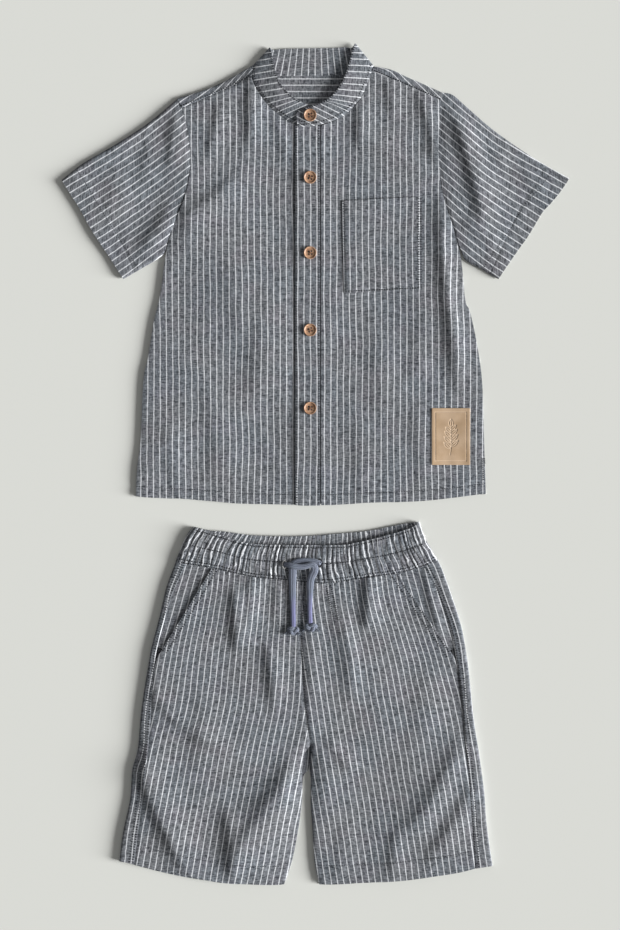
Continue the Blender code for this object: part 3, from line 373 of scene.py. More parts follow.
def bell(away, width):
    """1 at 0, falling off on both sides within about that width."""
    return np.exp(-((away / width) ** 2))


def through(points, steps=8):
    """The points with steps - 1 more between each two, on a smooth curve."""
    points = np.array(points, float)
    found = []
    for i in range(len(points) - 1):
        p, q, r, s = points[[max(i - 1, 0), i, i + 1, min(i + 2, len(points) - 1)]]
        for t in np.arange(steps) / steps:
            found.append(0.5 * (2 * q + (r - p) * t + (2 * p - 5 * q + 4 * r - s) * t * t
                                + (3 * q - p - 3 * r + s) * t ** 3))
    return np.array(found + [points[-1]])


def run(points):
    """How far along a line each of its points lies."""
    return np.concatenate([[0.0], np.cumsum(np.linalg.norm(np.diff(points, axis=0), axis=1))])


def away_from(points, x, y):
    """How far places lie from a line through the points."""
    best = np.full(np.shape(x), 1.0)
    for (ax, ay), (bx, by) in zip(points[:-1], points[1:]):
        dx, dy = bx - ax, by - ay
        t = np.clip(((x - ax) * dx + (y - ay) * dy) / max(dx * dx + dy * dy, 1e-12), 0.0, 1.0)
        best = np.minimum(best, np.hypot(x - ax - t * dx, y - ay - t * dy))
    return best


class Line:
    """A line through smooth stretches, each given by its points, read by its share of length."""

    def __init__(self, *stretches, points=None):
        if points is None:
            points = np.concatenate([through(stretch) for stretch in stretches])
        fresh = np.linalg.norm(np.diff(points, axis=0), axis=1) > 1e-7
        self.points = points[np.concatenate([[True], fresh])]
        self.along = run(self.points)
        self.length = self.along[-1]

    def at(self, share):
        target = np.asarray(share) * self.length
        return np.stack([np.interp(target, self.along, axis) for axis in self.points.T], axis=-1)

    def moved(self, aside):
        """The same line, moved to the left of its direction by that distance."""
        way = np.gradient(self.points, axis=0)
        way /= np.linalg.norm(way, axis=1, keepdims=True)
        return Line(points=self.points + aside * np.stack([-way[:, 1], way[:, 0]], axis=1))

    def x_at(self, y):
        """Where a line that runs downwards passes that height."""
        return np.interp(-np.asarray(y), -self.points[:, 1], self.points[:, 0])

    def below(self, y):
        """The stretch of a line that runs downwards from where it passes that height."""
        lower = self.points[self.points[:, 1] < y - 1e-4]
        return Line(points=np.concatenate([[(self.x_at(y), y)], lower]))

    def distance(self, x, y):
        """How far places lie from the line, by every other point of it."""
        return away_from(np.vstack([self.points[:-1:2], self.points[-1:]]), x, y)


def spaced(length, step, marks=()):
    """Distances from 0 to length, about a step apart, and closer at both ends and round the marks."""
    places = set(np.linspace(0.0, length, max(2, round(length / step)) + 1))
    for near in EDGE_STEPS:
        places |= {near, length - near}
    for mark in marks:
        places |= {mark - SEAM_WIDTH * 0.6, mark, mark + SEAM_WIDTH * 0.6}
    kept = [0.0]
    for place in sorted(places):
        if place - kept[-1] > CLOSEST and length - place > CLOSEST:
            kept.append(place)
    return np.array(kept + [length])


def between(top, bottom, left, right, u, v):
    """Places between four edges, at the shares u across and v down."""
    across, down = u[None, :, None], v[:, None, None]
    sides = left.at(v)[:, None] * (1 - across) + right.at(v)[:, None] * across
    ends = top.at(u)[None] * (1 - down) + bottom.at(u)[None] * down
    corners = ((top.at(0.0) * (1 - across) + top.at(1.0) * across) * (1 - down)
               + (bottom.at(0.0) * (1 - across) + bottom.at(1.0) * across) * down)
    return sides + ends - corners


def panel_plan(top, bottom, left, right, step, marks=()):
    """Plan places between four edges, with each one's distance from the four.

    Top and bottom run left to right, and left and right run downwards. The marks lie up from the bottom,
    whose edge wanders a little.
    """
    width, height = (top.length + bottom.length) / 2, (left.length + right.length) / 2
    across, down = spaced(width, step), spaced(height, step, [height - mark for mark in marks])
    plan = between(top, bottom, left, right, across / width, down / height)
    foot_way = plan[-1] - plan[-2]
    foot_way /= np.maximum(np.linalg.norm(foot_way, axis=-1, keepdims=True), 1e-9)
    wander = HEM_WANDER * uneven(across, 0.0, 0.013, 7)[None] * np.exp(-(height - down) / 0.012)[:, None]
    from_left, from_top = np.meshgrid(across, down)
    return plan + wander[..., None] * foot_way, {
        "left": from_left, "right": width - from_left, "top": from_top, "bottom": height - from_top}


def corner_plan(top_left, top_right, foot_left, foot_right, step, marks=()):
    """The same for a piece with four straight edges."""
    return panel_plan(Line([top_left, top_right]), Line([foot_left, foot_right]), Line([top_left, foot_left]),
                      Line([top_right, foot_right]), step, marks)


def uneven(x, y, size, seed):
    """Smooth unevenness from -1 to 1, with features of about that size."""
    lattice = np.random.default_rng(seed).uniform(-1.0, 1.0, (64, 64))
    gx, gy = np.asarray(x) / size + 31.3, np.asarray(y) / size + 29.7
    ix, iy = np.floor(gx).astype(int), np.floor(gy).astype(int)
    fx, fy = eased(gx - ix), eased(gy - iy)
    ix, iy = ix % 63, iy % 63
    low = lattice[iy, ix] * (1 - fx) + lattice[iy, ix + 1] * fx
    high = lattice[iy + 1, ix] * (1 - fx) + lattice[iy + 1, ix + 1] * fx
    return low * (1 - fy) + high * fy


def crease_height(creases, x, y):
    """How far the creases near a place lift the cloth there."""
    lift = np.zeros(np.shape(x))
    for x1, y1, x2, y2, bend, shade, lit, height in creases:
        dx, dy = x2 - x1, y2 - y1
        length = math.hypot(dx, dy)
        along = ((x - x1) * dx + (y - y1) * dy) / length ** 2
        aside = ((x - x1) * dy - (y - y1) * dx) / length
        to_light = 1.0 if dy * LIGHT_FROM[0] - dx * LIGHT_FROM[1] > 0 else -1.0
        aside = aside * to_light - bend * 4 * along * (1 - along)
        taper = eased((along + 0.12) / 0.36) * eased((1.12 - along) / 0.42)
        lift += height * taper * bell(aside, np.where(aside < 0, shade, lit))
    return lift


def crumple(x, y, seed):
    """The small unevenness of washed linen and cotton."""
    return (0.00100 * uneven(x, y, 0.080, seed + 3) + 0.00055 * uneven(x, y, 0.042, seed)
            + 0.00024 * uneven(x, y, 0.019, seed + 1) + 0.00009 * uneven(x, y, 0.008, seed + 2))


SHIRT_RIGHT, SHIRT_LEFT = Line(ARMHOLE_RIGHT, SIDE_RIGHT), Line(ARMHOLE_LEFT, SIDE_LEFT)
SHIRT_SIDES = Line(SIDE_RIGHT), Line(SIDE_LEFT)
INSEAMS = Line(INSEAM_RIGHT), Line(INSEAM_LEFT)
BAND_ENDS = Line(BAND_SIDE_RIGHT), Line(BAND_SIDE_LEFT)
YOKE_FOOT = Line([(edge.x_at(BACK_YOKE_Y), BACK_YOKE_Y) for edge in (SHIRT_RIGHT, SHIRT_LEFT)])


def inside_of(edges, x, y):
    """How far places lie from the nearer of two edges."""
    return np.minimum(*(edge.distance(x, y) for edge in edges))


def shirt_front_level(x, y):
    inside = inside_of(SHIRT_SIDES, x, y) / EDGE_ROUND
    level = LOW + (SHIRT_CREST - LOW) * rounded(inside)
    return level + (crease_height(SHIRT_CREASES, x, y) + crumple(x, y, 11)) * eased(inside)


def right_front_level(x, y):
    """The right front goes down to pass below the placket."""
    near = eased((PLACKET_EDGE_X - PLACKET_CLEAR - x) / UNDER_SLOPE)
    return UNDER_PLACKET_LEVEL + (shirt_front_level(x, y) - UNDER_PLACKET_LEVEL) * near


def left_front_level(x, y):
    """The left front rises to the placket that is sewn to it."""
    near = eased((x - PLACKET_SEAM_X) / PLACKET_SLOPE)
    return PLACKET_LEVEL + (shirt_front_level(x, y) - PLACKET_LEVEL) * near


def shorts_front_level(x, y):
    """The legs' folds, puckers below the waist seam, and pocket mouths that stand open a little."""
    lift = crease_height(SHORTS_CREASES, x, y) + crumple(x, y, 21)
    puckers = np.sin(x / STRIPE_PITCH * math.tau + 1.4 * uneven(x, y, 0.030, 31))
    lift = lift + PUCKER_HEIGHT * puckers * np.exp(-Line(WAIST_SEAM).distance(x, y) / 0.013)
    for mouth, gape in ((MOUTH_RIGHT, GAPE_RIGHT), (MOUTH_LEFT, GAPE_LEFT)):
        (x1, y1), (x2, y2) = mouth
        along = ((x - x1) * (x2 - x1) + (y - y1) * (y2 - y1)) / math.dist(*mouth) ** 2
        open_here = np.sin(math.pi * np.clip(along, 0.0, 1.0)) ** 1.3
        lift = lift + gape * open_here * bell(Line(mouth).distance(x, y), 0.012)
    inside = inside_of(INSEAMS, x, y) / EDGE_ROUND
    return LOW + (SHORTS_CREST - LOW) * rounded(inside) + lift * eased(inside)


def seam_valley(near, side):
    """The small valley and the puckered rise beside a sewn edge."""
    return 0.00022 * bell(near[side] - 0.0034, 0.0019) - SEAM_FLOOR * bell(near[side], SEAM_WIDTH)


def turned_hem(up, depth, x, seed):
    """A hem is double below its stitch line, which pulls it in."""
    double = 0.00022 * eased((depth - up) / 0.0012)
    pulled = -0.00018 * bell(up - depth, 0.0010)
    ripples = 0.00030 * uneven(x, up * 0.3, 0.0085, seed) * eased((depth * 2.2 - up) / (depth * 1.4))
    return double + pulled + ripples


# Stripes: each gives, for places in plan, how far they lie across the stripes and along them

def sway(x, y, seed):
    return 0.0010 * uneven(x, y, 0.055, seed) + 0.00035 * uneven(x, y, 0.018, seed + 1)


def upright_stripes(x, y, start, seed):
    return np.stack([x - start + sway(x, y, seed), y], axis=-1)


def read_guide(guide, at):
    """The guide's other columns, on a smooth curve, where its first column has these values."""
    rows = through(guide, 6)
    rows = rows[np.argsort(rows[:, 0])]
    return [np.interp(at, rows[:, 0], column) for column in rows.T[1:]]


def leg_stripes(x, y, guide, seed):
    """Stripes that spread from the waist down and lean out below the seat."""
    middle, spread = read_guide(guide, y)
    return np.stack([(x - middle) / spread + sway(x, y, seed), y], axis=-1)


def sleeve_stripes(x, y, guide, seed):
    """Stripes along the sleeve, all of the guide's shape."""
    middle = read_guide(guide, x)[0]
    return np.stack([(y - middle) * SLEEVE_STRIPE_LEAN + sway(x, y, seed), x * 1.2], axis=-1)


def collar_stripes(x, y, guide, centre):
    """Stripes across the standing band, each with the guide's slope at its own height."""
    heights, slopes = np.array(guide).T
    height = y
    for _ in range(5):
        height = y - np.interp(height, heights, slopes) * (x - centre)
    return np.stack([height, x], axis=-1)


# Materials

class Nodes:
    """Adds nodes to a tree, laid out in columns, and feeds their inputs with numbers, colours or sockets."""

    def __init__(self, tree):
        self.tree = tree

    def feed(self, node, inputs):
        for key, value in inputs.items():
            if isinstance(value, bpy.types.NodeSocket):
                self.tree.links.new(value, node.inputs[key])
            else:
                is_colour = node.inputs[key].type == "RGBA"
                node.inputs[key].default_value = (*value, 1.0) if is_colour else value

    def add(self, kind, inputs=None, **settings):
        column, row = divmod(len(self.tree.nodes), 5)
        node = self.tree.nodes.new(kind)
        node.location = (column * 220 - 1400, 500 - row * 220)
        for name, value in settings.items():
            setattr(node, name, value)
        self.feed(node, inputs or {})
        return node

    def math(self, operation, *values):
        return self.add("ShaderNodeMath", dict(enumerate(values)), operation=operation).outputs[0]

    def scaled(self, value, factor, added=0.0):
        return self.math("MULTIPLY_ADD", value, factor, added)

    def ramp(self, value, low, high, to_low=0.0, to_high=1.0, kind="SMOOTHSTEP"):
        inputs = {"Value": value, "From Min": low, "From Max": high, "To Min": to_low, "To Max": to_high}
        return self.add("ShaderNodeMapRange", inputs, clamp=True, interpolation_type=kind).outputs["Result"]

    def mix(self, share, first, second, how="MIX"):
        return self.add("ShaderNodeMix", {0: share, 6: first, 7: second}, data_type="RGBA",
                        blend_type=how).outputs[2]

    def noise(self, vector, scale, detail=2.0, roughness=0.5):
        inputs = {"Vector": vector, "Scale": scale, "Detail": detail, "Roughness": roughness}
        return self.add("ShaderNodeTexNoise", inputs).outputs[0]

    def stretched(self, vector, across, along):
        """The vector with its two directions measured in other units."""
        return self.add("ShaderNodeVectorMath", {0: vector, 1: (across, along, 1.0)},
                        operation="MULTIPLY").outputs[0]

    def parts(self, vector):
        return self.add("ShaderNodeSeparateXYZ", {"Vector": vector}).outputs

    def place(self, uv_map=None):
        if uv_map:
            return self.add("ShaderNodeUVMap", uv_map=uv_map).outputs[0]
        return self.add("ShaderNodeTexCoord").outputs["Object"]

    def shade(self, colour, roughness, specular=0.5, bump=None, **others):
        """Sets the material's shader. The bump is its strength and its height."""
        inputs = {"Base Color": colour, "Roughness": roughness, "Specular IOR Level": specular}
        inputs.update({name.replace("_", " "): value for name, value in others.items()})
        if bump:
            heights = {"Strength": bump[0], "Distance": 1.0, "Height": bump[1]}
            inputs["Normal"] = self.add("ShaderNodeBump", heights).outputs[0]
        self.feed(self.tree.nodes["Principled BSDF"], inputs)


def new_group(name, inputs, outputs):
    """A node group that takes a vector and numbers and gives numbers."""
    tree = bpy.data.node_groups.new(name, "ShaderNodeTree")
    tree.interface.new_socket("Vector", in_out="INPUT", socket_type="NodeSocketVector")
    for label, value in inputs.items():
        tree.interface.new_socket(label, in_out="INPUT", socket_type="NodeSocketFloat").default_value = value
    for label in outputs:
        tree.interface.new_socket(label, in_out="OUTPUT", socket_type="NodeSocketFloat")
    nodes = Nodes(tree)
    return nodes, nodes.add("NodeGroupInput").outputs, nodes.add("NodeGroupOutput")


def slub_weave_group():
    """Irregular yarns both ways: how light the ground is, and its height."""
    sizes = {"Yarn Pitch": 0.0007, "Slub Width": 0.0009, "Slub Length": 0.0056}
    nodes, given, result = new_group("slub_weave", sizes, ["Lightness", "Height"])
    wide, long = (nodes.math("DIVIDE", 1.0, given[f"Slub {side}"]) for side in ("Width", "Length"))
    parts = nodes.parts(given["Vector"])
    yarns, waves = [], []
    for k, (across, along) in enumerate(((wide, long), (long, wide))):
        x, y = nodes.math("MULTIPLY", parts[0], across), nodes.math("MULTIPLY", parts[1], along)
        stretch = nodes.add("ShaderNodeCombineXYZ", {"X": x, "Y": y, "Z": 3.7 * k})
        yarns.append(nodes.noise(stretch.outputs[0], 1.0, 3.0, 0.62))
        turn = nodes.math("DIVIDE", nodes.math("MULTIPLY", parts[k], math.tau), given["Yarn Pitch"])
        waves.append(nodes.math("SINE", turn))
    crossed = nodes.scaled(yarns[0], 0.75, nodes.math("MULTIPLY", yarns[1], 1.25))
    blotch = nodes.noise(given["Vector"], 210.0, 3.0, 0.6)
    plain = nodes.math("MULTIPLY", *waves)
    nodes.feed(result, {"Lightness": nodes.scaled(blotch, 0.35, nodes.math("MULTIPLY", crossed, 0.72)),
                        "Height": nodes.scaled(plain, 0.16, nodes.math("MULTIPLY", crossed, 0.9))})
    return nodes.tree


def stripe_group():
    """Narrow woven stripes: where they are, broken a little by the yarns that cross them."""
    nodes, given, result = new_group(
        "woven_stripes", {"Pitch": STRIPE_PITCH, "Width": 0.00108, "Softness": 0.00016}, ["Mask"])
    wobble = nodes.noise(nodes.stretched(given["Vector"], 1.0, 0.5), 420.0)
    moved = nodes.scaled(wobble, 0.0007, nodes.parts(given["Vector"])[0])
    turn = nodes.math("ADD", nodes.math("DIVIDE", moved, given["Pitch"]), 0.5)
    place = nodes.math("SUBTRACT", nodes.math("FRACT", turn), 0.5)
    away = nodes.math("MULTIPLY", nodes.math("ABSOLUTE", place), given["Pitch"])
    half = nodes.math("MULTIPLY", given["Width"], 0.5)
    inner, outer = (nodes.math(way, half, given["Softness"]) for way in ("SUBTRACT", "ADD"))
    crossing = nodes.noise(nodes.stretched(given["Vector"], 500.0, 1100.0), 1.0)
    mask = nodes.math("MULTIPLY", nodes.ramp(away, inner, outer, 1.0, 0.0),
                      nodes.ramp(crossing, 0.28, 0.62, 0.62, 1.0))
    nodes.feed(result, {"Mask": mask})
    return nodes.tree


def new_material(name):
    material = bpy.data.materials.new(name)
    material.use_nodes = True
    return material, Nodes(material.node_tree)


def striped_cloth_material():
    """Grey-blue slub chambray with a narrow off-white stripe."""
    material, nodes = new_material("striped_cloth")
    place = nodes.place("stripes")
    weave, stripes = (nodes.add("ShaderNodeGroup", {"Vector": place}, node_tree=group).outputs
                      for group in (slub_weave_group(), stripe_group()))
    ground = nodes.ramp(weave["Lightness"], 0.730, 1.080, kind="LINEAR")
    cloth = nodes.mix(ground, (0.034, 0.039, 0.046), (0.288, 0.300, 0.320))
    cool = nodes.mix(nodes.ramp(nodes.noise(place, 19.0), 0.34, 0.66, 0.0, 0.9), cloth,
                     nodes.mix(0.9, cloth, (0.90, 0.97, 1.02), "MULTIPLY"))
    warm = nodes.noise(nodes.stretched(place, 1.0, 1.4), 31.0)
    mixed = nodes.mix(nodes.ramp(warm, 0.42, 0.70, 0.0, 0.8), cool,
                      nodes.mix(0.9, cool, (1.06, 0.985, 1.02), "MULTIPLY"))
    line = nodes.mix(ground, (0.60, 0.62, 0.65), (0.85, 0.865, 0.89))
    crush = nodes.noise(place, 150.0, 3.0, 0.55)
    height = nodes.scaled(weave["Height"], 0.00013, nodes.math("MULTIPLY", crush, 0.00050))
    nodes.shade(nodes.mix(stripes["Mask"], mixed, line), 0.92, 0.25, (0.9, height), Sheen_Weight=0.12,
                Sheen_Roughness=0.5)
    return material


def thread_material(name, dark, light):
    material, nodes = new_material(name)
    shade = nodes.ramp(nodes.noise(nodes.place(), 900.0, 1.0), 0.35, 0.65)
    nodes.shade(nodes.mix(shade, dark, light), 0.8)
    return material


def wood_material():
    material, nodes = new_material("button_wood")
    place = nodes.place()
    grain = nodes.noise(nodes.stretched(place, 260.0, 1500.0), 1.0, 3.0, 0.6)
    figure = nodes.ramp(nodes.noise(place, 160.0), 0.38, 0.70, 0.0, 0.6)
    base = nodes.mix(nodes.ramp(grain, 0.30, 0.70), (0.300, 0.150, 0.080), (0.640, 0.410, 0.265))
    nodes.shade(nodes.mix(figure, base, (0.200, 0.092, 0.048)), nodes.ramp(grain, 0.3, 0.7, 0.36, 0.55), 0.45,
                (0.4, nodes.math("MULTIPLY", grain, 0.00012)))
    return material


def leather_material():
    """Smooth tan leather, paler where it is tooled."""
    material, nodes = new_material("patch_leather")
    place = nodes.place()
    tooled = nodes.add("ShaderNodeAttribute", attribute_name="tooled").outputs["Fac"]
    grain, cloud = nodes.noise(place, 1500.0, 3.0, 0.6), nodes.noise(place, 60.0)
    base = nodes.mix(nodes.ramp(cloud, 0.30, 0.70), (0.470, 0.325, 0.200), (0.560, 0.405, 0.270))
    fine = nodes.mix(nodes.ramp(grain, 0.35, 0.75, 0.0, 0.25), base, (0.300, 0.200, 0.120))
    nodes.shade(nodes.mix(nodes.math("MULTIPLY", tooled, 0.75), fine, (0.660, 0.510, 0.370)), 0.62, 0.35,
                (0.5, nodes.math("MULTIPLY", grain, 0.00010)))
    return material


def cord_material():
    """Knitted cotton cord: small slanting loops in pairs, shade painted in their hollows, a lavender
    highlight painted near its end.
    """
    material, nodes = new_material("cord_cotton")
    place = nodes.place("around")
    around, along, _ = nodes.parts(place)
    slant = nodes.math("PINGPONG", around, 0.0011)
    row = nodes.math("ADD", along, nodes.math("MULTIPLY", slant, 0.9))
    loops, wales = (nodes.math("SINE", nodes.math("MULTIPLY", value, math.tau / pitch))
                    for value, pitch in ((row, 0.0013), (around, 0.0011)))
    knit = nodes.scaled(loops, 0.5, nodes.math("MULTIPLY", wales, 0.5))
    fuzz, worn = nodes.noise(place, 1400.0, 3.0), nodes.noise(place, 90.0)
    # Darker where the knit's loops sink: painted shade in their hollows
    base = nodes.mix(nodes.ramp(knit, -1.0, 1.0), (0.085, 0.100, 0.138), (0.265, 0.290, 0.362))
    mottled = nodes.mix(nodes.ramp(worn, 0.40, 0.70, 0.0, 0.5), base, (0.130, 0.168, 0.200))
    # A lavender band painted as a highlight along the cord's upper side, on the side facing the light, near
    # its free end
    off_middle = nodes.math("ABSOLUTE", nodes.math("SUBTRACT", around, 0.0072))
    painted_highlight = nodes.math("MULTIPLY", nodes.ramp(along, 0.055, 0.085),
                       nodes.ramp(off_middle, 0.0006, 0.0030, 1.0, 0.0))
    height = nodes.scaled(knit, 0.00016, nodes.math("MULTIPLY", fuzz, 0.00055))
    nodes.shade(nodes.mix(painted_highlight, mottled, (0.190, 0.195, 0.345)), 0.88, 0.2, (0.8, height), Sheen_Weight=0.25,
                Sheen_Roughness=0.4)
    return material


STRIPED_CLOTH = striped_cloth_material()
# Near-black thread: the thread's own dark grey deepened to paint the shade in the needle holes and seam
# grooves
THREAD_WITH_PAINTED_SHADE = thread_material("sewing_thread_painted_shade", (0.005, 0.006, 0.009), (0.024, 0.027, 0.036))
EYELET_THREAD = thread_material("eyelet_thread", (0.55, 0.56, 0.57), (0.86, 0.86, 0.84))
# Near-black: painted shade standing for the dark inside of the eyelets' holes
EYELET_HOLE_SHADE_PAINTED = thread_material("eyelet_hole_painted_shade", (0.010, 0.010, 0.014), (0.028, 0.028, 0.034))
BUTTON_THREAD = thread_material("button_thread", (0.060, 0.026, 0.014), (0.190, 0.085, 0.045))
BUTTON_WOOD = wood_material()
PATCH_LEATHER = leather_material()
CORD_COTTON = cord_material()


# Pieces

def select_only(*objects):
    bpy.ops.object.select_all(action="DESELECT")
    for piece in objects:
        piece.select_set(True)
    bpy.context.view_layer.objects.active = objects[0]


def finished(piece, slot, *nodes):
    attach(piece, "root")
    if nodes:
        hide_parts(*nodes)
    return piece


def grid_faces(rows, columns, around=False, closed=False, offset=0):
    """The faces of rows of vertices, joined round each row and from the last row to the first if so asked."""
    index = np.arange(rows * columns).reshape(rows, columns) + offset
    if around:
        index = np.hstack([index, index[:, :1]])
    if closed:
        index = np.vstack([index, index[:1]])
    faces = np.stack([index[:-1, :-1], index[1:, :-1], index[1:, 1:], index[:-1, 1:]], axis=-1)
    return faces.reshape(-1, 4).tolist()


def mesh_piece(name, vertices, faces, material):
    mesh = bpy.data.meshes.new(name)
    mesh.from_pydata(np.asarray(vertices).reshape(-1, 3).tolist(), [], faces)
    mesh.materials.append(material)
    piece = bpy.data.objects.new(name, mesh)
    bpy.context.scene.collection.objects.link(piece)
    return piece


def corner_vertices(piece):
    corners = np.empty(len(piece.data.loops), int)
    piece.data.loops.foreach_get("vertex_index", corners)
    return corners


def set_uv(piece, layer, places):
    """Gives each face corner its place in the pattern."""
    piece.data.uv_layers.new(name=layer).data.foreach_set("uv", np.asarray(places, float).ravel())


def modify(piece, kind, **settings):
    """Adds a modifier to the piece and applies it."""
    modifier = piece.modifiers.new(kind.title(), kind)
    for name, value in settings.items():
        setattr(modifier, name, value)
    select_only(piece)
    bpy.ops.object.modifier_apply(modifier=modifier.name)


def smooth(piece, degrees=None):
    select_only(piece)
    if degrees:
        bpy.ops.object.shade_smooth_by_angle(angle=math.radians(degrees))
    else:
        bpy.ops.object.shade_smooth()


def cloth_mesh(name, vertices, faces, pattern, node, wall=CLOTH, weld=False):
    """A striped cloth piece."""
    piece = mesh_piece(name, vertices, faces, STRIPED_CLOTH)
    set_uv(piece, "stripes", np.reshape(pattern, (-1, 2))[corner_vertices(piece)])
    if weld:
        modify(piece, "WELD", merge_threshold=0.00001)
    modify(piece, "SOLIDIFY", thickness=wall, offset=0.0)
    smooth(piece, 55)
    finished(piece, "striped_cloth", node)


def cloth_shell(name, places, pattern, node, wall=CLOTH, ring=False):
    """A shell through rows of places that go from left to right and down, seen from its face."""
    faces = grid_faces(*places.shape[:2], around=ring)
    cloth_mesh(name, places, faces, pattern, node, wall)


def raised(plan, z):
    return np.concatenate([plan, z[..., None]], axis=-1)


def shirt_back():
    right, left = SHIRT_RIGHT.below(BACK_YOKE_Y), SHIRT_LEFT.below(BACK_YOKE_Y)
    plan, _ = panel_plan(YOKE_FOOT, Line(HEM_BACK), right, left, 0.008)
    x, y = plan[..., 0], plan[..., 1]
    cloth_shell("back_of_shirt", raised(plan, np.full(x.shape, CLOTH / 2)), upright_stripes(x, y, 0.0, 41),
                "shirt_back")


def shirt_yoke():
    """The yoke lies below, turns over each shoulder and ends at the front yoke seam."""
    fold = (LOW + SHIRT_CREST) / 2 - CLOTH / 2
    turn = fold / 2
    left_end, right_end = SHOULDER_RIGHT[0][0], SHOULDER_LEFT[-1][0]
    sides = {}
    for side, edge, seam, steps in (("right", SHOULDER_RIGHT, YOKE_SEAM_RIGHT, 36),
                                    ("neck", NECK_BACK, None, 46),
                                    ("left", SHOULDER_LEFT, YOKE_SEAM_LEFT, 36)):
        shares = np.linspace(0, 1, steps + 1)
        sides[side] = []
        for share in shares if seam else shares[1:-1]:
            x, y = Line(edge).at(share)
            below = YOKE_FOOT.at((x - left_end) / (right_end - left_end))
            top = np.array((x, y - turn if seam else y))
            column = [(*(below + (top - below) * k / (FLAT_PART - 1)), CLOTH / 2) for k in range(FLAT_PART)]
            if seam:
                for swing in np.radians((35, 70, 105, 140)):
                    rise = turn - turn * math.cos(swing)
                    column.append((x, top[1] + turn * math.sin(swing), CLOTH / 2 + rise))
                for step in YOKE_FRONT_STEPS:
                    px, py = top + (Line(seam).at(share) - top) * step
                    rise = CLOTH / 2 + fold + (SHIRT_CREST - CLOTH / 2 - fold) * rounded(step)
                    rise += crease_height(SHIRT_CREASES, px, py) * step - SEAM_FLOOR * (step > 0.97)
                    column.append((px, py, rise))
            sides[side].append(np.array(column))
    sides["neck"] = [sides["right"][-1][:FLAT_PART], *sides["neck"], sides["left"][0][:FLAT_PART]]
    faces, points, marks = [], [], []
    for columns in sides.values():
        faces += grid_faces(len(columns), len(columns[0]), offset=len(points))
        for column in columns:
            points += column.tolist()
            up = np.where(np.arange(len(column)) < FLAT_PART, column[:, 1], column[0, 1] + run(column))
            marks += np.column_stack([up, column[:, 0]]).tolist()
    cloth_mesh("yoke", points, faces, marks, "shirt_yoke", weld=True)


def shirt_fronts():
    right_edges = (SHIRT_RIGHT.below(YOKE_SEAM_RIGHT[0][1]),
                   Line(NECK_RIGHT, [NECK_RIGHT[-1], HEM_RIGHT[-1]]))
    left_edges = (Line(NECK_LEFT, [NECK_LEFT[-1], HEM_LEFT[0]]),
                  SHIRT_LEFT.below(YOKE_SEAM_LEFT[-1][1]))
    for side, seam, hem, edges, level, armhole, armhole_foot, start, seed, cut in (
            ("right", YOKE_SEAM_RIGHT, HEM_RIGHT, right_edges, right_front_level, SHIRT_RIGHT, 0.262,
             -0.0241, 43, (0.205, 0.475, 0.0725)),
            ("left", YOKE_SEAM_LEFT, HEM_LEFT, left_edges, left_front_level, SHIRT_LEFT, 0.248,
             0.0100, 45, (0.190, 0.475, 0.0675))):
        plan, near = panel_plan(Line(seam), Line(hem), *edges, FINE_STEP, [SHIRT_HEM])
        x, y = plan[..., 0], plan[..., 1]
        z = level(x, y) + seam_valley(near, "top") + turned_hem(near["bottom"], SHIRT_HEM, x, seed + 8)
        z = z - ARMHOLE_FLOOR * bell(armhole.distance(x, y), SEAM_WIDTH) * (y >= armhole_foot)
        cloth_shell(f"{side}_front", raised(plan, z), upright_stripes(x, y, start, seed),
                    f"shirt_front_{side}")


def shirt_placket():
    left_x, right_x = PLACKET_EDGE_X, PLACKET_SEAM_X - 0.0001
    plan, near = corner_plan((left_x, PLACKET_TOP_Y), (right_x, PLACKET_TOP_Y), (left_x, PLACKET_FOOT_Y),
                             (right_x, PLACKET_FOOT_Y), FINE_STEP, [SHIRT_HEM])
    x, y = plan[..., 0], plan[..., 1]
    z = PLACKET_LEVEL + 0.00012 * uneven(x, y, 0.022, 5) + 0.00005 * uneven(x, y, 0.007, 6)
    z = z + seam_valley(near, "right") * 0.3
    cloth_shell("placket", raised(plan, z), upright_stripes(x, y, -0.0052, 47), "shirt_placket",
                wall=DOUBLE)


def collar_places():
    """Rows of the band from its hidden end to its end on top, each from the neckline to the free edge."""
    rows = through(COLLAR_ROWS, 6)
    shares = np.array([-0.085, -0.03, 0.0, 0.06, 0.12, 0.25, 0.4, 0.55, 0.7, 0.82, 0.9, 0.955, 1.0])
    neck, edge = rows[:, None, :3], rows[:, None, 3:]
    places = neck + (edge - neck) * shares[None, :, None]
    crown = 0.00045 * np.sin(math.pi * np.clip(shares, 0, 1)) ** 0.7
    places[..., 2] += crown - np.clip(-shares / 0.085, 0, 1) * COLLAR_TUCK_DROP
    return places


def collar_band():
    places = collar_places()
    x, y = places[..., 0], places[..., 1]
    row = (np.arange(len(places)) / 6)[:, None, None]
    right_half = collar_stripes(x, y, COLLAR_GUIDE_RIGHT, -0.052)
    left_half = collar_stripes(x, y, COLLAR_GUIDE_LEFT, 0.047)
    inside = np.stack([x * (1 + 5.2 * (y - 0.4335)), y], axis=-1)
    pattern = np.where(row < 8.5, right_half, np.where(row < 15.5, inside, left_half))
    cloth_shell("band_collar", places, pattern, "collar_band",
                wall=DOUBLE)


def sleeve_level(depth, x, y):
    crest = WALL / 2 + 2 * SLEEVE_TURN
    crest = crest + (SHIRT_CREST - crest) * rounded(depth / EDGE_ROUND)
    return crest + (crease_height(SLEEVE_CREASES, x, y) + crumple(x, y, 17)) * eased(depth / EDGE_ROUND)


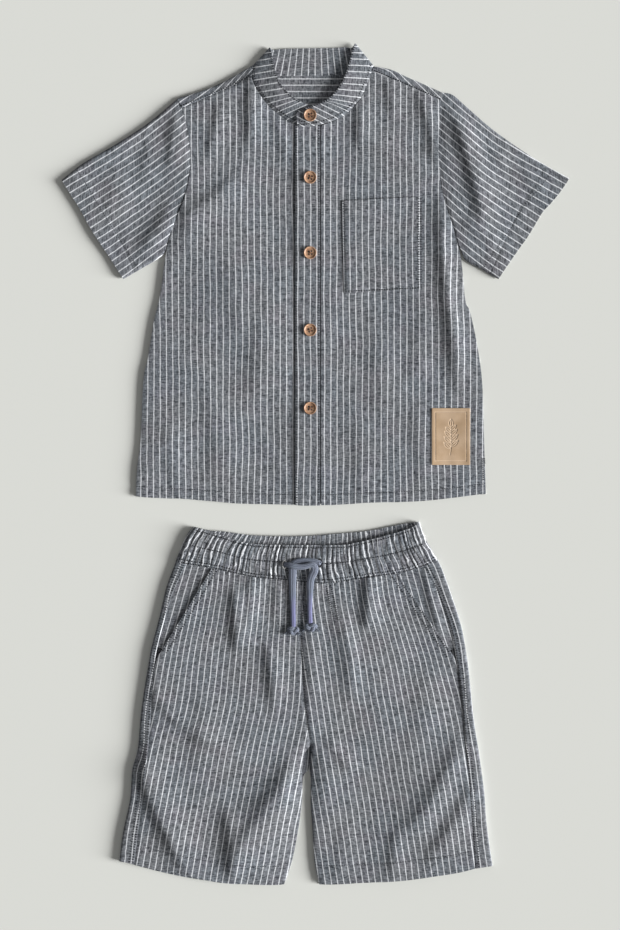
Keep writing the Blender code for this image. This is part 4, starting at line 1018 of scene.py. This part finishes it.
def sleeve(side, top, under, armhole, cuff, guide):
    """A flattened tube: rings that go out over the upper layer and back below."""
    lap = -ARMHOLE_LAP if side == "right" else ARMHOLE_LAP
    plan, near = panel_plan(Line(armhole).moved(lap), Line(cuff), Line(top), Line(under), SLEEVE_STEP,
                            [SLEEVE_HEM])
    columns = plan.shape[1]
    shares = np.linspace(0, 1, columns) - np.sin(np.linspace(0, math.tau, columns)) * 0.06
    rings = []
    for line, up, down in zip(plan, near["bottom"], near["top"]):
        width = math.dist(line[0], line[-1])
        inset = SLEEVE_TURN / width
        spots = Line(points=line).at(inset + (1 - 2 * inset) * shares)
        x, y = spots.T
        z = sleeve_level(np.minimum(shares, 1 - shares) * width, x, y) + turned_hem(up, SLEEVE_HEM, x + y, 57)
        z -= SLEEVE_DROP * bell(down, SLEEVE_DROP_WIDTH)
        below = np.column_stack([spots, np.full(columns, CLOTH / 2)])[::-2]
        ends = [[(*line[end], WALL / 2 + SLEEVE_TURN)] for end in (0, -1)]
        rings.append(np.concatenate([ends[0], np.column_stack([spots, z]), ends[1], below]))
    places = np.array(rings if side == "right" else rings[::-1])
    cloth_shell(f"{side}_sleeve", places, sleeve_stripes(places[..., 0], places[..., 1], guide, 61),
                f"sleeve_{side}", ring=True)


def chest_pocket():
    plan, near = corner_plan(**POCKET_CORNERS, step=0.0024)
    x, y = plan[..., 0], plan[..., 1]
    sewn = np.minimum(np.minimum(near["left"], near["right"]), near["bottom"])
    open_top = eased(1 - near["top"] / 0.016) * np.sin(math.pi * near["left"] / 0.0855) ** 2
    z = left_front_level(x, y) + CLOTH + POCKET_GAP + 0.0009 * open_top + 0.00012 * uneven(x, y, 0.012, 71)
    z = z - 0.00035 * bell(sewn - 0.0016, 0.0009) - 0.0004 * bell(sewn, 0.0010)
    z = z - 0.00022 * bell(near["top"] - POCKET_HEM, 0.0009)
    cloth_shell("pocket", raised(plan, z), upright_stripes(x, y, 0.0305 - 0.016 * (y - 0.235), 73),
                "chest_pocket")


def shorts_backs():
    """Each back leg panel lies below, turns over at the outer edge and ends at the side seam on top."""
    fold = SHORTS_CREST - CLOTH / 2
    turn = fold / 2
    for side, inner, sag, outer, seam, seed in (
            ("right", BACK_INSEAM_RIGHT, HEM_SAG_RIGHT, LEG_OUTER_RIGHT, SIDE_SEAM_RIGHT, 81),
            ("left", BACK_INSEAM_LEFT, HEM_SAG_LEFT, LEG_OUTER_LEFT, SIDE_SEAM_LEFT, 83)):
        inner_edge, outer_edge, seam_edge = Line(BACK_CENTRE + inner), Line(outer), Line(seam)
        rows, marks = [], []
        for v in np.linspace(0, 1, 121):
            start, edge, end = inner_edge.at(v), outer_edge.at(v), seam_edge.at(v)
            way = (end - edge) / np.linalg.norm(end - edge)
            inset = edge + way * turn
            row = []
            for share in np.linspace(0, 1, 25):
                x, y = start + (inset - start) * share
                row.append((x, y - sag * v ** 8 * math.sin(math.pi * share), CLOTH / 2))
            for swing in np.radians((30, 60, 90, 120, 150)):
                spot = inset - way * turn * math.sin(swing)
                row.append((*spot, CLOTH / 2 + turn - turn * math.cos(swing)))
            for share in (0.0, 0.25, 0.5, 0.75, 0.9, 1.0):
                x, y = inset + (end - inset) * share
                lift = crease_height(SHORTS_CREASES, x, y) * share - SEAM_FLOOR * (share > 0.95)
                row.append((x, y, CLOTH / 2 + fold + lift + 0.0001 * uneven(x, y, 0.02, seed)))
            rows.append(np.array(row))
            x, y, _ = rows[-1].T
            marks.append(np.column_stack([run(rows[-1]) - run(rows[-1])[27] + sway(x, y, seed), y]))
        way = 1 if side == "left" else -1
        cloth_shell(f"back_{side}_leg", np.array(rows)[::way], np.array(marks)[::way], f"shorts_back_{side}")


def shorts_fronts():
    waist_right = [MOUTH_RIGHT[0], (-0.069, -0.1212), (-0.038, -0.1242), CENTRE_SEAM[0]]
    waist_left = [CENTRE_SEAM[0], (0.013, -0.1282), (0.059, -0.1217), MOUTH_LEFT[0]]
    side_right = [MOUTH_RIGHT[-1], (-0.1705, -0.2095), (-0.1738, -0.2240)]
    side_left = [MOUTH_LEFT[-1], (0.1502, -0.2100), (0.1520, -0.2180)]
    for side, waist, hem, left, right, centre, outer, guide, seed in (
            ("right", waist_right, LEG_HEM_RIGHT, Line(MOUTH_RIGHT, side_right, SIDE_SEAM_RIGHT[4:]),
             Line(CENTRE_SEAM + INSEAM_RIGHT), "right", "left", LEG_GUIDE_RIGHT, 91),
            ("left", waist_left, LEG_HEM_LEFT, Line(CENTRE_SEAM + INSEAM_LEFT),
             Line(MOUTH_LEFT, side_left, SIDE_SEAM_LEFT[4:]), "left", "right", LEG_GUIDE_LEFT, 93)):
        plan, near = panel_plan(Line(waist), Line(hem), left, right, FINE_STEP, [LEG_HEM])
        x, y = plan[..., 0], plan[..., 1]
        z = shorts_front_level(x, y) + turned_hem(near["bottom"], LEG_HEM, x, seed)
        z = z + 0.0001 * np.exp(-near["top"] / 0.0080)
        z = z + seam_valley(near, centre) * eased((y + 0.318) / 0.02)
        z = z - SEAM_FLOOR * bell(near[outer], SEAM_WIDTH) * eased((-0.195 - y) / 0.01)
        cloth_shell(f"front_{side}_leg", raised(plan, z), leg_stripes(x, y, guide, seed),
                    f"shorts_front_{side}")


def pocket_facings():
    for side, mouth, seam, sign, seed in (("right", MOUTH_RIGHT, SIDE_SEAM_RIGHT, 1, 95),
                                          ("left", MOUTH_LEFT, SIDE_SEAM_LEFT, -1, 97)):
        outer = Line(seam[:4]).moved(-sign * FACING_INSET)
        inner = Line([(x + sign * FACING_UNDER, y) for x, y in mouth])
        left, right = (outer, inner) if sign > 0 else (inner, outer)
        top, foot = (Line(points=np.array([left.at(share), right.at(share)])) for share in (0, 1))
        plan, _ = panel_plan(top.moved(FACING_RISE), foot, left, right, 0.0016)
        x, y = plan[..., 0], plan[..., 1]
        pattern = np.stack([x * 0.96 - sign * y * 0.28 + sway(x, y, seed), y], axis=-1)
        cloth_shell(f"facing_{side}", raised(plan, FACING_LEVEL + crease_height(FACING_FOLD, x, y)), pattern,
                    f"pocket_facing_{side}")


def gather_wave(share, down):
    """The band's gathers: a wave of uneven pitch and height that wanders down the band."""
    wander = 0.10 * np.sin(down * 5.0 + share * 60.0) + 0.16 * np.sin(share * 143.0) * down
    phase = math.tau * (BAND_GATHERS * share + 0.55 * np.sin(math.tau * 3.1 * share)
                        + 0.30 * np.sin(math.tau * 7.3 * share + 1.0) + wander)
    size = 0.72 + 0.28 * np.sin(math.tau * 5.7 * share + 0.6)
    return (np.sin(phase) + 0.22 * np.sin(2 * phase + 0.8)) * size


def band_front_level(x, y, share, down, inside):
    """Height of the gathered front band: two soft channels with a stitch line between."""
    level = BAND_END_LEVEL + (BAND_LEVEL - BAND_END_LEVEL) * rounded(inside / BAND_ROUND)
    near_foot = eased((down - 0.86) / 0.14)
    stitched, top_edge = bell(down - BAND_STITCH, 0.028), bell(down, 0.06)
    level = level - (BAND_FOOT_DROP * near_foot + 0.00085 * stitched
                     + 0.0003 * top_edge) * eased(inside / BAND_ROUND)
    size = GATHER_HEIGHT * (1.0 - 0.45 * stitched - 0.45 * near_foot - 0.6 * top_edge)
    for x0, y0 in EYELETS.values():
        size = size * (1 - 0.85 * bell(np.hypot(x - x0, y - y0), 0.0055))
    fine = 0.00028 * uneven(x, y * 0.40, 0.0030, 101) + 0.00026 * uneven(x, y * 0.7, 0.0062, 102)
    return level + (size * gather_wave(share, down) + fine) * eased(inside / GATHER_START)


def waistband():
    width = Line(BAND_TOP).length
    for side, top, foot, rows, area in (("front", BAND_TOP, WAIST_SEAM, 22, 0.0138),
                                        ("back", BAND_BACK_TOP, BACK_WAIST_SEAM, 10, 0.0125)):
        u, v = np.linspace(0, 1, 521), np.linspace(0, 1, rows + 1)
        plan = between(Line(top), Line(foot), *BAND_ENDS, u, v)
        x, y = plan[..., 0], plan[..., 1]
        share, down = np.meshgrid(u, v)
        inside = inside_of(BAND_ENDS, x, y)
        if side == "front":
            z = band_front_level(x, y, share, down, inside)
        else:
            swell = 0.5 * (1 + gather_wave(share, down)) * eased((1 - down) / 0.2)
            z = BAND_WALL - DOUBLE / 2 + GATHER_HEIGHT * swell * eased(inside / GATHER_START) * 0.9
        across = share * width
        drift = sum(size * uneven(across, down * 0.04, pitch, seed) for size, pitch, seed in (
            (0.0011, 0.0065, 99), (0.0013, 0.020, 98), (0.0006, 0.0028, 97)))
        drift = drift + 0.0017 * uneven(across, 0.0, 0.009, 96) * eased((down - BAND_STITCH + 0.02) / 0.04)
        across = across * BAND_FULLNESS + drift + 0.0006 * gather_wave(share + 0.004, down)
        cloth_shell(f"band_{side}", raised(plan, z), np.stack([across, down * 0.042], axis=-1),
                    f"waistband_{side}", wall=DOUBLE)


def drawcord(side, route):
    """The knitted cord: a flat tube out of its eyelet, with its knot at the end."""
    x0, y0 = EYELETS[side]
    out = [(x0 + (route[0][0] - x0) * share, y0, z, width)
           for share, z, width in ((0.3, 0.0064, 0.0044), (0.6, 0.0078, 0.0050))]
    points = through(out + route)
    middle = points[:, :3]
    knot = end_knot(side)
    seed = 113 if side == "left" else 111
    piece = cord_tube(f"drawcord_{side}_knit", middle, points[:, 3], CORD_HEIGHT, seed)
    finished(piece, "cord_cotton", f"drawcord_{side}")


def cord_tube(name, middle, widths, height, seed, closed=False):
    """A flat tube with its knit measured round it and along it."""
    way = np.roll(middle, -1, axis=0) - np.roll(middle, 1, axis=0) if closed else np.gradient(middle, axis=0)
    way /= np.linalg.norm(way, axis=1, keepdims=True)
    side = np.cross(way, (0.0, 0.0, 1.0))
    side /= np.linalg.norm(side, axis=1, keepdims=True)
    along = run(middle)
    swell = 1 + 0.06 * uneven(along, 0.0, 0.006, seed) + 0.03 * uneven(along, 0.0, 0.002, seed + 1)
    half = np.stack([widths / 2 * swell, height / 2 * (2 - swell)], axis=1)
    rings = list(zip(middle, side, np.cross(side, way), half, along))
    if not closed:
        for end, outward in ((0, -1.0), (-1, 1.0)):
            spot, aside, above, size, reach = rings[end]
            caps = [(spot + way[end] * outward * size[1] * push, aside, above, size * shrink,
                     reach + outward * push * 0.002) for push, shrink in CORD_CAP]
            rings = rings + caps if outward > 0 else caps[::-1] + rings
    turn = math.tau * np.arange(CORD_SIDES) / CORD_SIDES - math.pi / 2
    wide, high = (np.sign(wave) * np.abs(wave) ** 0.82 for wave in (np.cos(turn), np.sin(turn)))
    places = [spot + np.outer(wide * size[0], aside) + np.outer(high * size[1], above)
              for spot, aside, above, size, _ in rings]
    faces = grid_faces(len(rings), CORD_SIDES, around=True, closed=closed)
    quads = len(faces)
    if not closed:
        faces += [list(range(CORD_SIDES)), list(range(len(rings) * CORD_SIDES))[:-CORD_SIDES - 1:-1]]
    piece = mesh_piece(name, places, faces, CORD_COTTON)
    corners = corner_vertices(piece)
    face = np.arange(len(corners)) // 4
    around = (corners % CORD_SIDES) / CORD_SIDES
    last_side = (face < quads) & (face % CORD_SIDES == CORD_SIDES - 1)
    around = np.where(last_side & (around == 0), 1.0, around)
    reach = np.array([ring[4] for ring in rings])[corners // CORD_SIDES]
    if closed:
        last_ring = face // CORD_SIDES == len(rings) - 1
        reach = np.where(last_ring & (reach == 0), 2 * along[-1] - along[-2], reach)
    girth = 2.6 * (half[:, 0].mean() + height / 2)
    set_uv(piece, "around", np.column_stack([around * girth, reach]))
    select_only(piece)
    bpy.ops.object.mode_set(mode="EDIT")
    bpy.ops.mesh.select_all(action="SELECT")
    bpy.ops.mesh.normals_make_consistent(inside=False)
    bpy.ops.object.mode_set(mode="OBJECT")
    bpy.ops.object.shade_smooth()
    return piece


def end_knot(side):
    """An overhand knot at the cord's end, pulled flat, with its loose threads below it."""
    x0, y0 = KNOTS[side]
    turn = np.linspace(0, math.tau, 97)[:-1]
    loop = np.column_stack([np.sin(turn) + 2 * np.sin(2 * turn), np.cos(turn) - 2 * np.cos(2 * turn),
                            -np.sin(3 * turn)]) * KNOT_SIZE
    if side == "left":
        loop = loop[::-1] * (-0.93, 1.0, 1.0)
    knot = cord_tube(f"knot_{side}", loop + (x0, y0, KNOT_LEVEL), np.full(len(loop), KNOT_CORD * 2.3),
                     KNOT_CORD * 1.9, 117, closed=True)
    chance = np.random.default_rng(5 if side == "left" else 6)
    vertices, faces = [], []
    cross = np.array([(math.cos(angle), 0.0, math.sin(angle)) for angle in math.tau * np.arange(4) / 4])
    for _ in range(KNOT_THREADS):
        away = chance.uniform(-1.0, 1.0)
        start = np.array((x0 + away * 0.0058, y0 - 0.0008, KNOT_LEVEL + chance.uniform(-0.0014, 0.0014)))
        reach = chance.uniform(0.0030, 0.0066)
        way = (away * 0.9 + chance.uniform(-0.3, 0.3), -0.75, chance.uniform(-0.35, 0.15))
        end = start + reach * np.array(way)
        bend = (start + end) / 2 + chance.uniform(-0.0006, 0.0006, 3)
        base = 4 * len(vertices)
        vertices += [spot + cross * LOOSE_THREAD * size
                     for spot, size in ((start, 1.0), (bend, 0.9), (end, 0.35))]
        faces += [(base + 3, base + 2, base + 1, base), (base + 8, base + 9, base + 10, base + 11)]
        for a, b in ((0, 1), (1, 2), (2, 3), (3, 0), (4, 5), (5, 6), (6, 7), (7, 4)):
            faces.append((base + a, base + b, base + b + 4, base + a + 4))
    threads = mesh_piece(f"knot_{side}_ends", vertices, faces, CORD_COTTON)
    threads.data.uv_layers.new(name="around")
    select_only(knot, threads)
    bpy.ops.object.join()
    return finished(knot, "cord_cotton", f"cord_knot_{side}")


def eyelet(side, surface, thread):
    """A buttonhole-stitched opening for the cord in the band, its hole a near-black disc of painted shade."""
    x0, y0 = EYELETS[side]
    wide, high = EYELET_SIZE
    bpy.ops.mesh.primitive_torus_add(major_segments=EYELET_STITCHES * 4, minor_segments=8, major_radius=1.0,
                                     minor_radius=0.30)
    ring = bpy.context.object
    for vertex in ring.data.vertices:
        angle = math.atan2(vertex.co.y, vertex.co.x)
        plump = 0.80 + 0.28 * abs(math.sin(angle * EYELET_STITCHES / 2))
        radial = Vector((math.cos(angle), math.sin(angle), 0.0))
        out = (vertex.co - radial).dot(radial) * plump * 0.0026
        x, y = x0 + radial.x * (wide + out), y0 + radial.y * (high + out)
        vertex.co = (x, y, surface(x, y) + 0.0001 + vertex.co.z * plump * 0.0016)
    bpy.ops.object.shade_smooth()
    # The hole: a near-black disc laid on the band, painted shade for the opening's dark inside
    bpy.ops.mesh.primitive_circle_add(vertices=40, radius=1.0, fill_type="NGON")
    hole = bpy.context.object
    bpy.ops.object.mode_set(mode="EDIT")
    bpy.ops.mesh.select_all(action="SELECT")
    bpy.ops.mesh.inset(thickness=0.35)
    bpy.ops.mesh.inset(thickness=0.35)
    bpy.ops.object.mode_set(mode="OBJECT")
    for vertex in hole.data.vertices:
        x, y = x0 + vertex.co.x * wide * 1.02, y0 + vertex.co.y * high * 1.02
        vertex.co = (x, y, surface(x, y) + 0.00022)
    for piece, name, material in ((ring, f"eyelet_{side}", thread),
                                  (hole, f"eyelet_{side}_inside", EYELET_HOLE_SHADE_PAINTED)):
        piece.name = name
        piece.data.materials.append(material)
        finished(piece, "striped_cloth")


def button_model():
    """A turned wooden button with a raised rim, a dish and four holes, its back on Z = 0."""
    bpy.ops.mesh.primitive_cylinder_add(vertices=64, radius=BUTTON_RADIUS, depth=BUTTON_HEIGHT,
                                        location=(0.0, 0.0, BUTTON_HEIGHT / 2))
    disc = bpy.context.object
    bpy.ops.object.transform_apply(location=True, rotation=True, scale=True)
    bpy.ops.object.mode_set(mode="EDIT")
    bpy.ops.mesh.select_mode(type="FACE")
    bpy.ops.mesh.select_all(action="DESELECT")
    shape = bmesh.from_edit_mesh(disc.data)
    for face in shape.faces:
        if face.normal.z > 0.9:
            face.select_set(True)
    bmesh.update_edit_mesh(disc.data)
    bpy.ops.mesh.inset(thickness=BUTTON_RIM * 0.55)
    bpy.ops.mesh.inset(thickness=BUTTON_RIM * 0.60)
    bpy.ops.transform.translate(value=(0.0, 0.0, -BUTTON_DISH))
    bpy.ops.mesh.inset(thickness=0.0011)
    bpy.ops.transform.translate(value=(0.0, 0.0, -0.00012))
    bpy.ops.object.mode_set(mode="OBJECT")
    modify(disc, "BEVEL", width=0.00042, segments=3, limit_method="ANGLE", angle_limit=math.radians(25))
    drills = []
    for sx, sy in ((-1, -1), (-1, 1), (1, -1), (1, 1)):
        bpy.ops.mesh.primitive_cylinder_add(
            vertices=18, radius=BUTTON_HOLE, depth=3 * BUTTON_HEIGHT,
            location=(sx * BUTTON_HOLE_PITCH, sy * BUTTON_HOLE_PITCH, BUTTON_HEIGHT / 2))
        drills.append(bpy.context.object)
    select_only(*drills)
    bpy.ops.object.join()
    drill = bpy.context.object
    modify(disc, "BOOLEAN", operation="DIFFERENCE", object=drill)
    bpy.data.objects.remove(drill)
    smooth(disc, 35)
    disc.data.materials.append(BUTTON_WOOD)
    return disc


def thread_cross():
    """Two crossed loops of thread through the holes, their ends in the dish."""
    bars = []
    for way in (1, -1):
        bpy.ops.mesh.primitive_uv_sphere_add(segments=10, ring_count=12, radius=1.0)
        bar = bpy.context.object
        bar.data.transform(Matrix.Diagonal((THREAD_REACH, 0.00024, 0.00026, 1.0)))
        for vertex in bar.data.vertices:
            arch = 0.00060 * (1 - (vertex.co.x / THREAD_REACH) ** 4)
            vertex.co.z += arch + (0.00018 if way > 0 else 0.0)
        bar.data.transform(Matrix.Rotation(math.radians(45) * way, 4, "Z"))
        bars.append(bar)
    select_only(*bars)
    bpy.ops.object.join()
    bpy.ops.object.shade_smooth()
    bars[0].data.materials.append(BUTTON_THREAD)
    return bars[0]


def buttons():
    disc, cross = button_model(), thread_cross()
    places = [(TOP_BUTTON_Y, TOP_BUTTON_Z)]
    places += [(y, PLACKET_LEVEL + DOUBLE / 2 + 0.0001) for y in PLACKET_BUTTONS_Y]
    for i, (y, z) in enumerate(places):
        for model, name, lift in ((disc, f"wooden_button_{i + 1}", 0.0),
                                  (cross, f"button_thread_{i + 1}", BUTTON_HEIGHT - BUTTON_DISH - 0.0003)):
            copy = bpy.data.objects.new(name, model.data.copy())
            bpy.context.scene.collection.objects.link(copy)
            turn = Matrix.Rotation(math.radians(BUTTON_TURNS[i]), 4, "Z")
            copy.data.transform(Matrix.Translation((BUTTON_X, y, z + lift)) @ turn)
            finished(copy, "button_wood", *([f"button_{i + 1}"] if model is disc else []))
    for model in (disc, cross):
        bpy.data.objects.remove(model)


def leaf_outline(x, y, degrees, length, width):
    """A pointed leaf with its rib, that starts at a place and lies at an angle."""
    share = np.linspace(0, 1, 15)
    half = width / 2 * np.sin(math.pi * share ** 0.85)
    along, aside = math.cos(math.radians(degrees)), math.sin(math.radians(degrees))
    edges = [np.column_stack([x + share * length * along - side * half * aside,
                              y + share * length * aside + side * half * along]) for side in (-1, 1)]
    return edges + [np.array([(x, y), (x + 0.86 * length * along, y + 0.86 * length * aside)])]


def patch_lines():
    """A plain border and a sprig of leaves, as lines on the patch, from its middle."""
    wide, high = PATCH_SIZE[0] / 2 - 0.0038, PATCH_SIZE[1] / 2 - 0.0042
    lines = [np.array([(-wide, -high), (wide, -high), (wide, high), (-wide, high), (-wide, -high)]),
             through([(-0.0008, -0.0195), (0.0006, -0.0080), (-0.0004, 0.0040), (0.0002, 0.0100)])]
    for y, length in ((-0.0120, 0.0105), (-0.0055, 0.0100), (0.0008, 0.0090), (0.0062, 0.0076)):
        for way in (-1, 1):
            lines += leaf_outline(0.0002, y + 0.0011 * way, 90 - way * 48, length, 0.0042)
    return lines + leaf_outline(0.0002, 0.0100, 90, 0.0090, 0.0044)


def patch():
    """The tan leather patch, with its tooling pressed in and its edges turned down a little."""
    bpy.ops.mesh.primitive_grid_add(x_subdivisions=112, y_subdivisions=166, size=1.0)
    leather = bpy.context.object
    leather.name = "leather_patch"
    unit = np.array([vertex.co for vertex in leather.data.vertices])
    x, y = (unit[:, :2] * PATCH_SIZE).T
    pressed = eased((0.00052 - np.min([away_from(line, x, y) for line in patch_lines()], axis=0)) / 0.00030)
    edge = np.minimum(PATCH_SIZE[0] / 2 - np.abs(x), PATCH_SIZE[1] / 2 - np.abs(y))
    wx, wy = x + PATCH_CENTRE[0], y + PATCH_CENTRE[1]
    z = left_front_level(wx, wy) + CLOTH / 2 + PATCH_GAP + PATCH_WALL - 0.00028 * pressed
    z = z - 0.00016 * bell(edge, 0.0005) + 0.00006 * uneven(x, y, 0.009, 131)
    leather.data.vertices.foreach_set("co", np.column_stack([wx, wy, z]).ravel())
    leather.data.attributes.new("tooled", "FLOAT", "POINT").data.foreach_set("value", pressed)
    modify(leather, "SOLIDIFY", thickness=PATCH_WALL, offset=-1.0)
    smooth(leather, 50)
    leather.data.materials.append(PATCH_LEATHER)
    finished(leather, "patch_leather", "patch")


# Sewing

def laid_surface():
    """How high the cloth's upper side lies at a place, from the finished cloth pieces."""
    vertices, faces = [], []
    for piece in bpy.context.scene.objects:
        if piece.type == "MESH" and "stripes" in piece.data.uv_layers:
            offset = len(vertices)
            vertices += [tuple(vertex.co) for vertex in piece.data.vertices]
            faces += [tuple(offset + corner for corner in face.vertices) for face in piece.data.polygons]
    tree = BVHTree.FromPolygons(vertices, faces)

    def level(x, y):
        spot = tree.ray_cast(Vector((x, y, 0.05)), Vector((0.0, 0.0, -1.0)))[0]
        return spot.z if spot else None

    return level


def stitch_model():
    """One short plump stitch along X: its places, from -1 to 1, and its faces."""
    bpy.ops.mesh.primitive_uv_sphere_add(segments=6, ring_count=5, radius=1.0)
    model = bpy.context.object
    model.data.transform(Matrix.Rotation(math.pi / 2, 4, "Y") @ Matrix.Diagonal((1.0, 0.8, 0.8, 1.0)))
    places = np.array([tuple(vertex.co) for vertex in model.data.vertices])
    faces = [tuple(face.vertices) for face in model.data.polygons]
    bpy.data.objects.remove(model)
    return places / np.abs(places).max(axis=0), faces


def sewn(name, seams, surface, model):
    """Stitches along lines, each with a stitch's length, the gap after it and the thread's thickness."""
    shape, outline = model
    vertices, faces = [], []
    chance = np.random.default_rng(len(seams))
    for line, length, gap, thick in seams:
        count = int(line.length / (length + gap))
        for i in range(count):
            first, last = line.at(np.array([i, i + length / (length + gap)]) / count)
            z1, z2 = surface(*first), surface(*last)
            if z1 is None or z2 is None or abs(z1 - z2) > 0.0012:
                continue
            start, end = np.array((*first, z1)), np.array((*last, z2))
            middle = (start + end) / 2 + (0, 0, STITCH_RADIUS * 0.10)
            long = np.linalg.norm(end - start)
            way = (end - start) / long
            side = np.array((-way[1], way[0], 0.0))
            side = side / np.linalg.norm(side) + way * chance.uniform(-0.10, 0.10)
            size = (long / 2, STITCH_RADIUS * thick, STITCH_RADIUS * 0.6 * thick)
            offset = len(vertices)
            vertices += (middle + shape * size @ np.array([way, side, np.cross(way, side)])).tolist()
            faces += [tuple(offset + corner for corner in face) for face in outline]
    # The stitches' near-black thread paints the shade of the needle holes and seams
    piece = mesh_piece(name, vertices, faces, THREAD_WITH_PAINTED_SHADE)
    smooth(piece)
    finished(piece, "striped_cloth")


def stitch_rows(lines, thick=1.0, length=STITCH_LENGTH, gap=STITCH_GAP):
    """Rows of stitches along lines, each given as a line or as points and how far aside of them it runs."""
    lines = [line if isinstance(line, Line) else Line(line[0]).moved(line[1]) for line in lines]
    return [(line, length, gap, thick) for line in lines]


def shirt_seams():
    top_left, top_right, foot_left, foot_right = (np.array(POCKET_CORNERS[name]) for name in (
        "top_left", "top_right", "foot_left", "foot_right"))
    inset = POCKET_INSET
    foot = foot_left + inset, foot_right + (-inset, inset)
    pocket = [(top_left + (inset, 0.0), foot[0]), foot]
    pocket += [(foot_right + (-aside, inset), top_right - (aside, 0.0)) for aside in (0.0030, 0.0003)]
    placket = [((x, PLACKET_TOP_Y - below), (x, PLACKET_FOOT_Y + 0.001))
               for x, below in ((PLACKET_SEAM_X - 0.0012, 0.001), (PLACKET_EDGE_X + 0.0014, 0.003))]
    collar = collar_places()[..., :2]
    stand = [Line(points=collar[first:last, 3] * 0.92 + collar[first:last, 4] * 0.08)
             for first, last in ((8, 46), (99, 152))]
    rim = [Line(points=collar[first:last, 11]) for first, last in ((14, 46), (99, 150))]
    vent = path(179.5, 6, 181, -18)
    return (stitch_rows([Line(points) for points in placket + pocket] + stand + rim)
            + stitch_rows([(YOKE_SEAM_RIGHT, 0.0014), (YOKE_SEAM_LEFT, 0.0014)])
            + stitch_rows([(HEM_RIGHT, SHIRT_HEM), (HEM_LEFT, SHIRT_HEM)], HEM_THREAD)
            + stitch_rows([(CUFF_RIGHT, SLEEVE_HEM), (CUFF_LEFT, -SLEEVE_HEM)], HEM_THREAD)
            + stitch_rows([Line(vent), (vent, 0.0022)], 1.0, 0.0013, 0.0008))


def shorts_seams():
    top, foot, shares = Line(BAND_TOP), Line(WAIST_SEAM), np.linspace(0.02, 0.98, 120)
    fly = path(11.8, -131, 20.5, -170)
    band = [Line(points=top.at(shares) * (1 - down) + foot.at(shares) * down)
            for down in (0.055, BAND_STITCH)]
    return (stitch_rows([(mouth, way * aside) for mouth, way in ((MOUTH_RIGHT, 1), (MOUTH_LEFT, -1))
                  for aside in (0.0016, 0.0062)])
            + stitch_rows([(seam, way * aside) for seam, way in ((SIDE_SEAM_RIGHT, -1), (SIDE_SEAM_LEFT, 1))
                    for aside in (0.0014, 0.0050)])
            + stitch_rows([(CENTRE_SEAM, 0.0014)])
            + stitch_rows([(LEG_HEM_RIGHT, LEG_HEM), (LEG_HEM_LEFT, LEG_HEM)], HEM_THREAD)
            + stitch_rows([Line(fly), (fly, 0.0048)], 1.0, 0.0013, 0.0009)
            + stitch_rows([Line(path(-11.5, -220.5, -9, -221.5))], 1.0, 0.0012, 0.0001)
            + stitch_rows([(WAIST_SEAM, 0.0016), (WAIST_SEAM, 0.0046)] + band))


# Camera, light and floor

PIXEL = 0.001075             # size on the garments of one of the view's 620 by 930 pixels
VIEW_CENTRE = (310.0, 465.0)
SET_CENTRE = (315.5, 464.0)  # the pixel where the set's middle is
SUN_HEIGHT = math.radians(16.5)


def camera():
    bpy.ops.object.camera_add()
    view = bpy.context.object
    view.name = "overhead_camera"
    view.data.lens = 85.0
    view.data.sensor_width = 36.0
    away = 930 * PIXEL * view.data.lens / view.data.sensor_width
    view.location = ((VIEW_CENTRE[0] - SET_CENTRE[0]) * PIXEL, (SET_CENTRE[1] - VIEW_CENTRE[1]) * PIXEL,
                     SHIRT_CREST + away)
    view.rotation_euler = (0.0, 0.0, 0.0)
    bpy.context.scene.camera = view


def floor():
    bpy.ops.mesh.primitive_plane_add(size=6.0, location=(0.0, 0.0, -0.0004))
    surface = bpy.context.object
    surface.name = "pale_floor"
    material, nodes = new_material("pale_floor")
    nodes.shade((0.740, 0.748, 0.708), 0.95, 0.1)
    surface.data.materials.append(material)


def light():
    bpy.ops.object.light_add(type="SUN")
    sun = bpy.context.object
    sun.name = "low_window_light"
    sun.data.energy = 8.0
    sun.data.angle = math.radians(25)
    way = Vector((*(side * math.cos(SUN_HEIGHT) for side in LIGHT_FROM), math.sin(SUN_HEIGHT)))
    sun.rotation_mode = "QUATERNION"
    sun.rotation_quaternion = way.to_track_quat("Z", "Y")
    world = bpy.data.worlds.new("soft_studio")
    bpy.context.scene.world = world
    world.use_nodes = True
    nodes = Nodes(world.node_tree)
    nodes.feed(world.node_tree.nodes["Background"], {"Color": (1.0, 1.0, 1.0), "Strength": 0.220})
    bpy.context.scene.view_settings.view_transform = "Standard"


camera()
floor()
light()
drawcord("right", RIGHT_CORD)
drawcord("left", LEFT_CORD)
shirt_back()
shirt_yoke()
shirt_fronts()
shirt_placket()
collar_band()
sleeve("right", SLEEVE_TOP_RIGHT, SLEEVE_UNDER_RIGHT, ARMHOLE_RIGHT, CUFF_RIGHT, SLEEVE_GUIDE_RIGHT)
sleeve("left", SLEEVE_TOP_LEFT, SLEEVE_UNDER_LEFT, ARMHOLE_LEFT, CUFF_LEFT, SLEEVE_GUIDE_LEFT)
chest_pocket()
shorts_backs()
shorts_fronts()
pocket_facings()
waistband()
buttons()
patch()
cloth_surface = laid_surface()
eyelet("right", cloth_surface, EYELET_THREAD)
# The left eyelet lies under the cord: its near-black ring is painted shade where the cord covers it
eyelet("left", cloth_surface, THREAD_WITH_PAINTED_SHADE)
stitch = stitch_model()
sewn("shirt_stitching", shirt_seams(), cloth_surface, stitch)
sewn("shorts_stitching", shorts_seams(), cloth_surface, stitch)
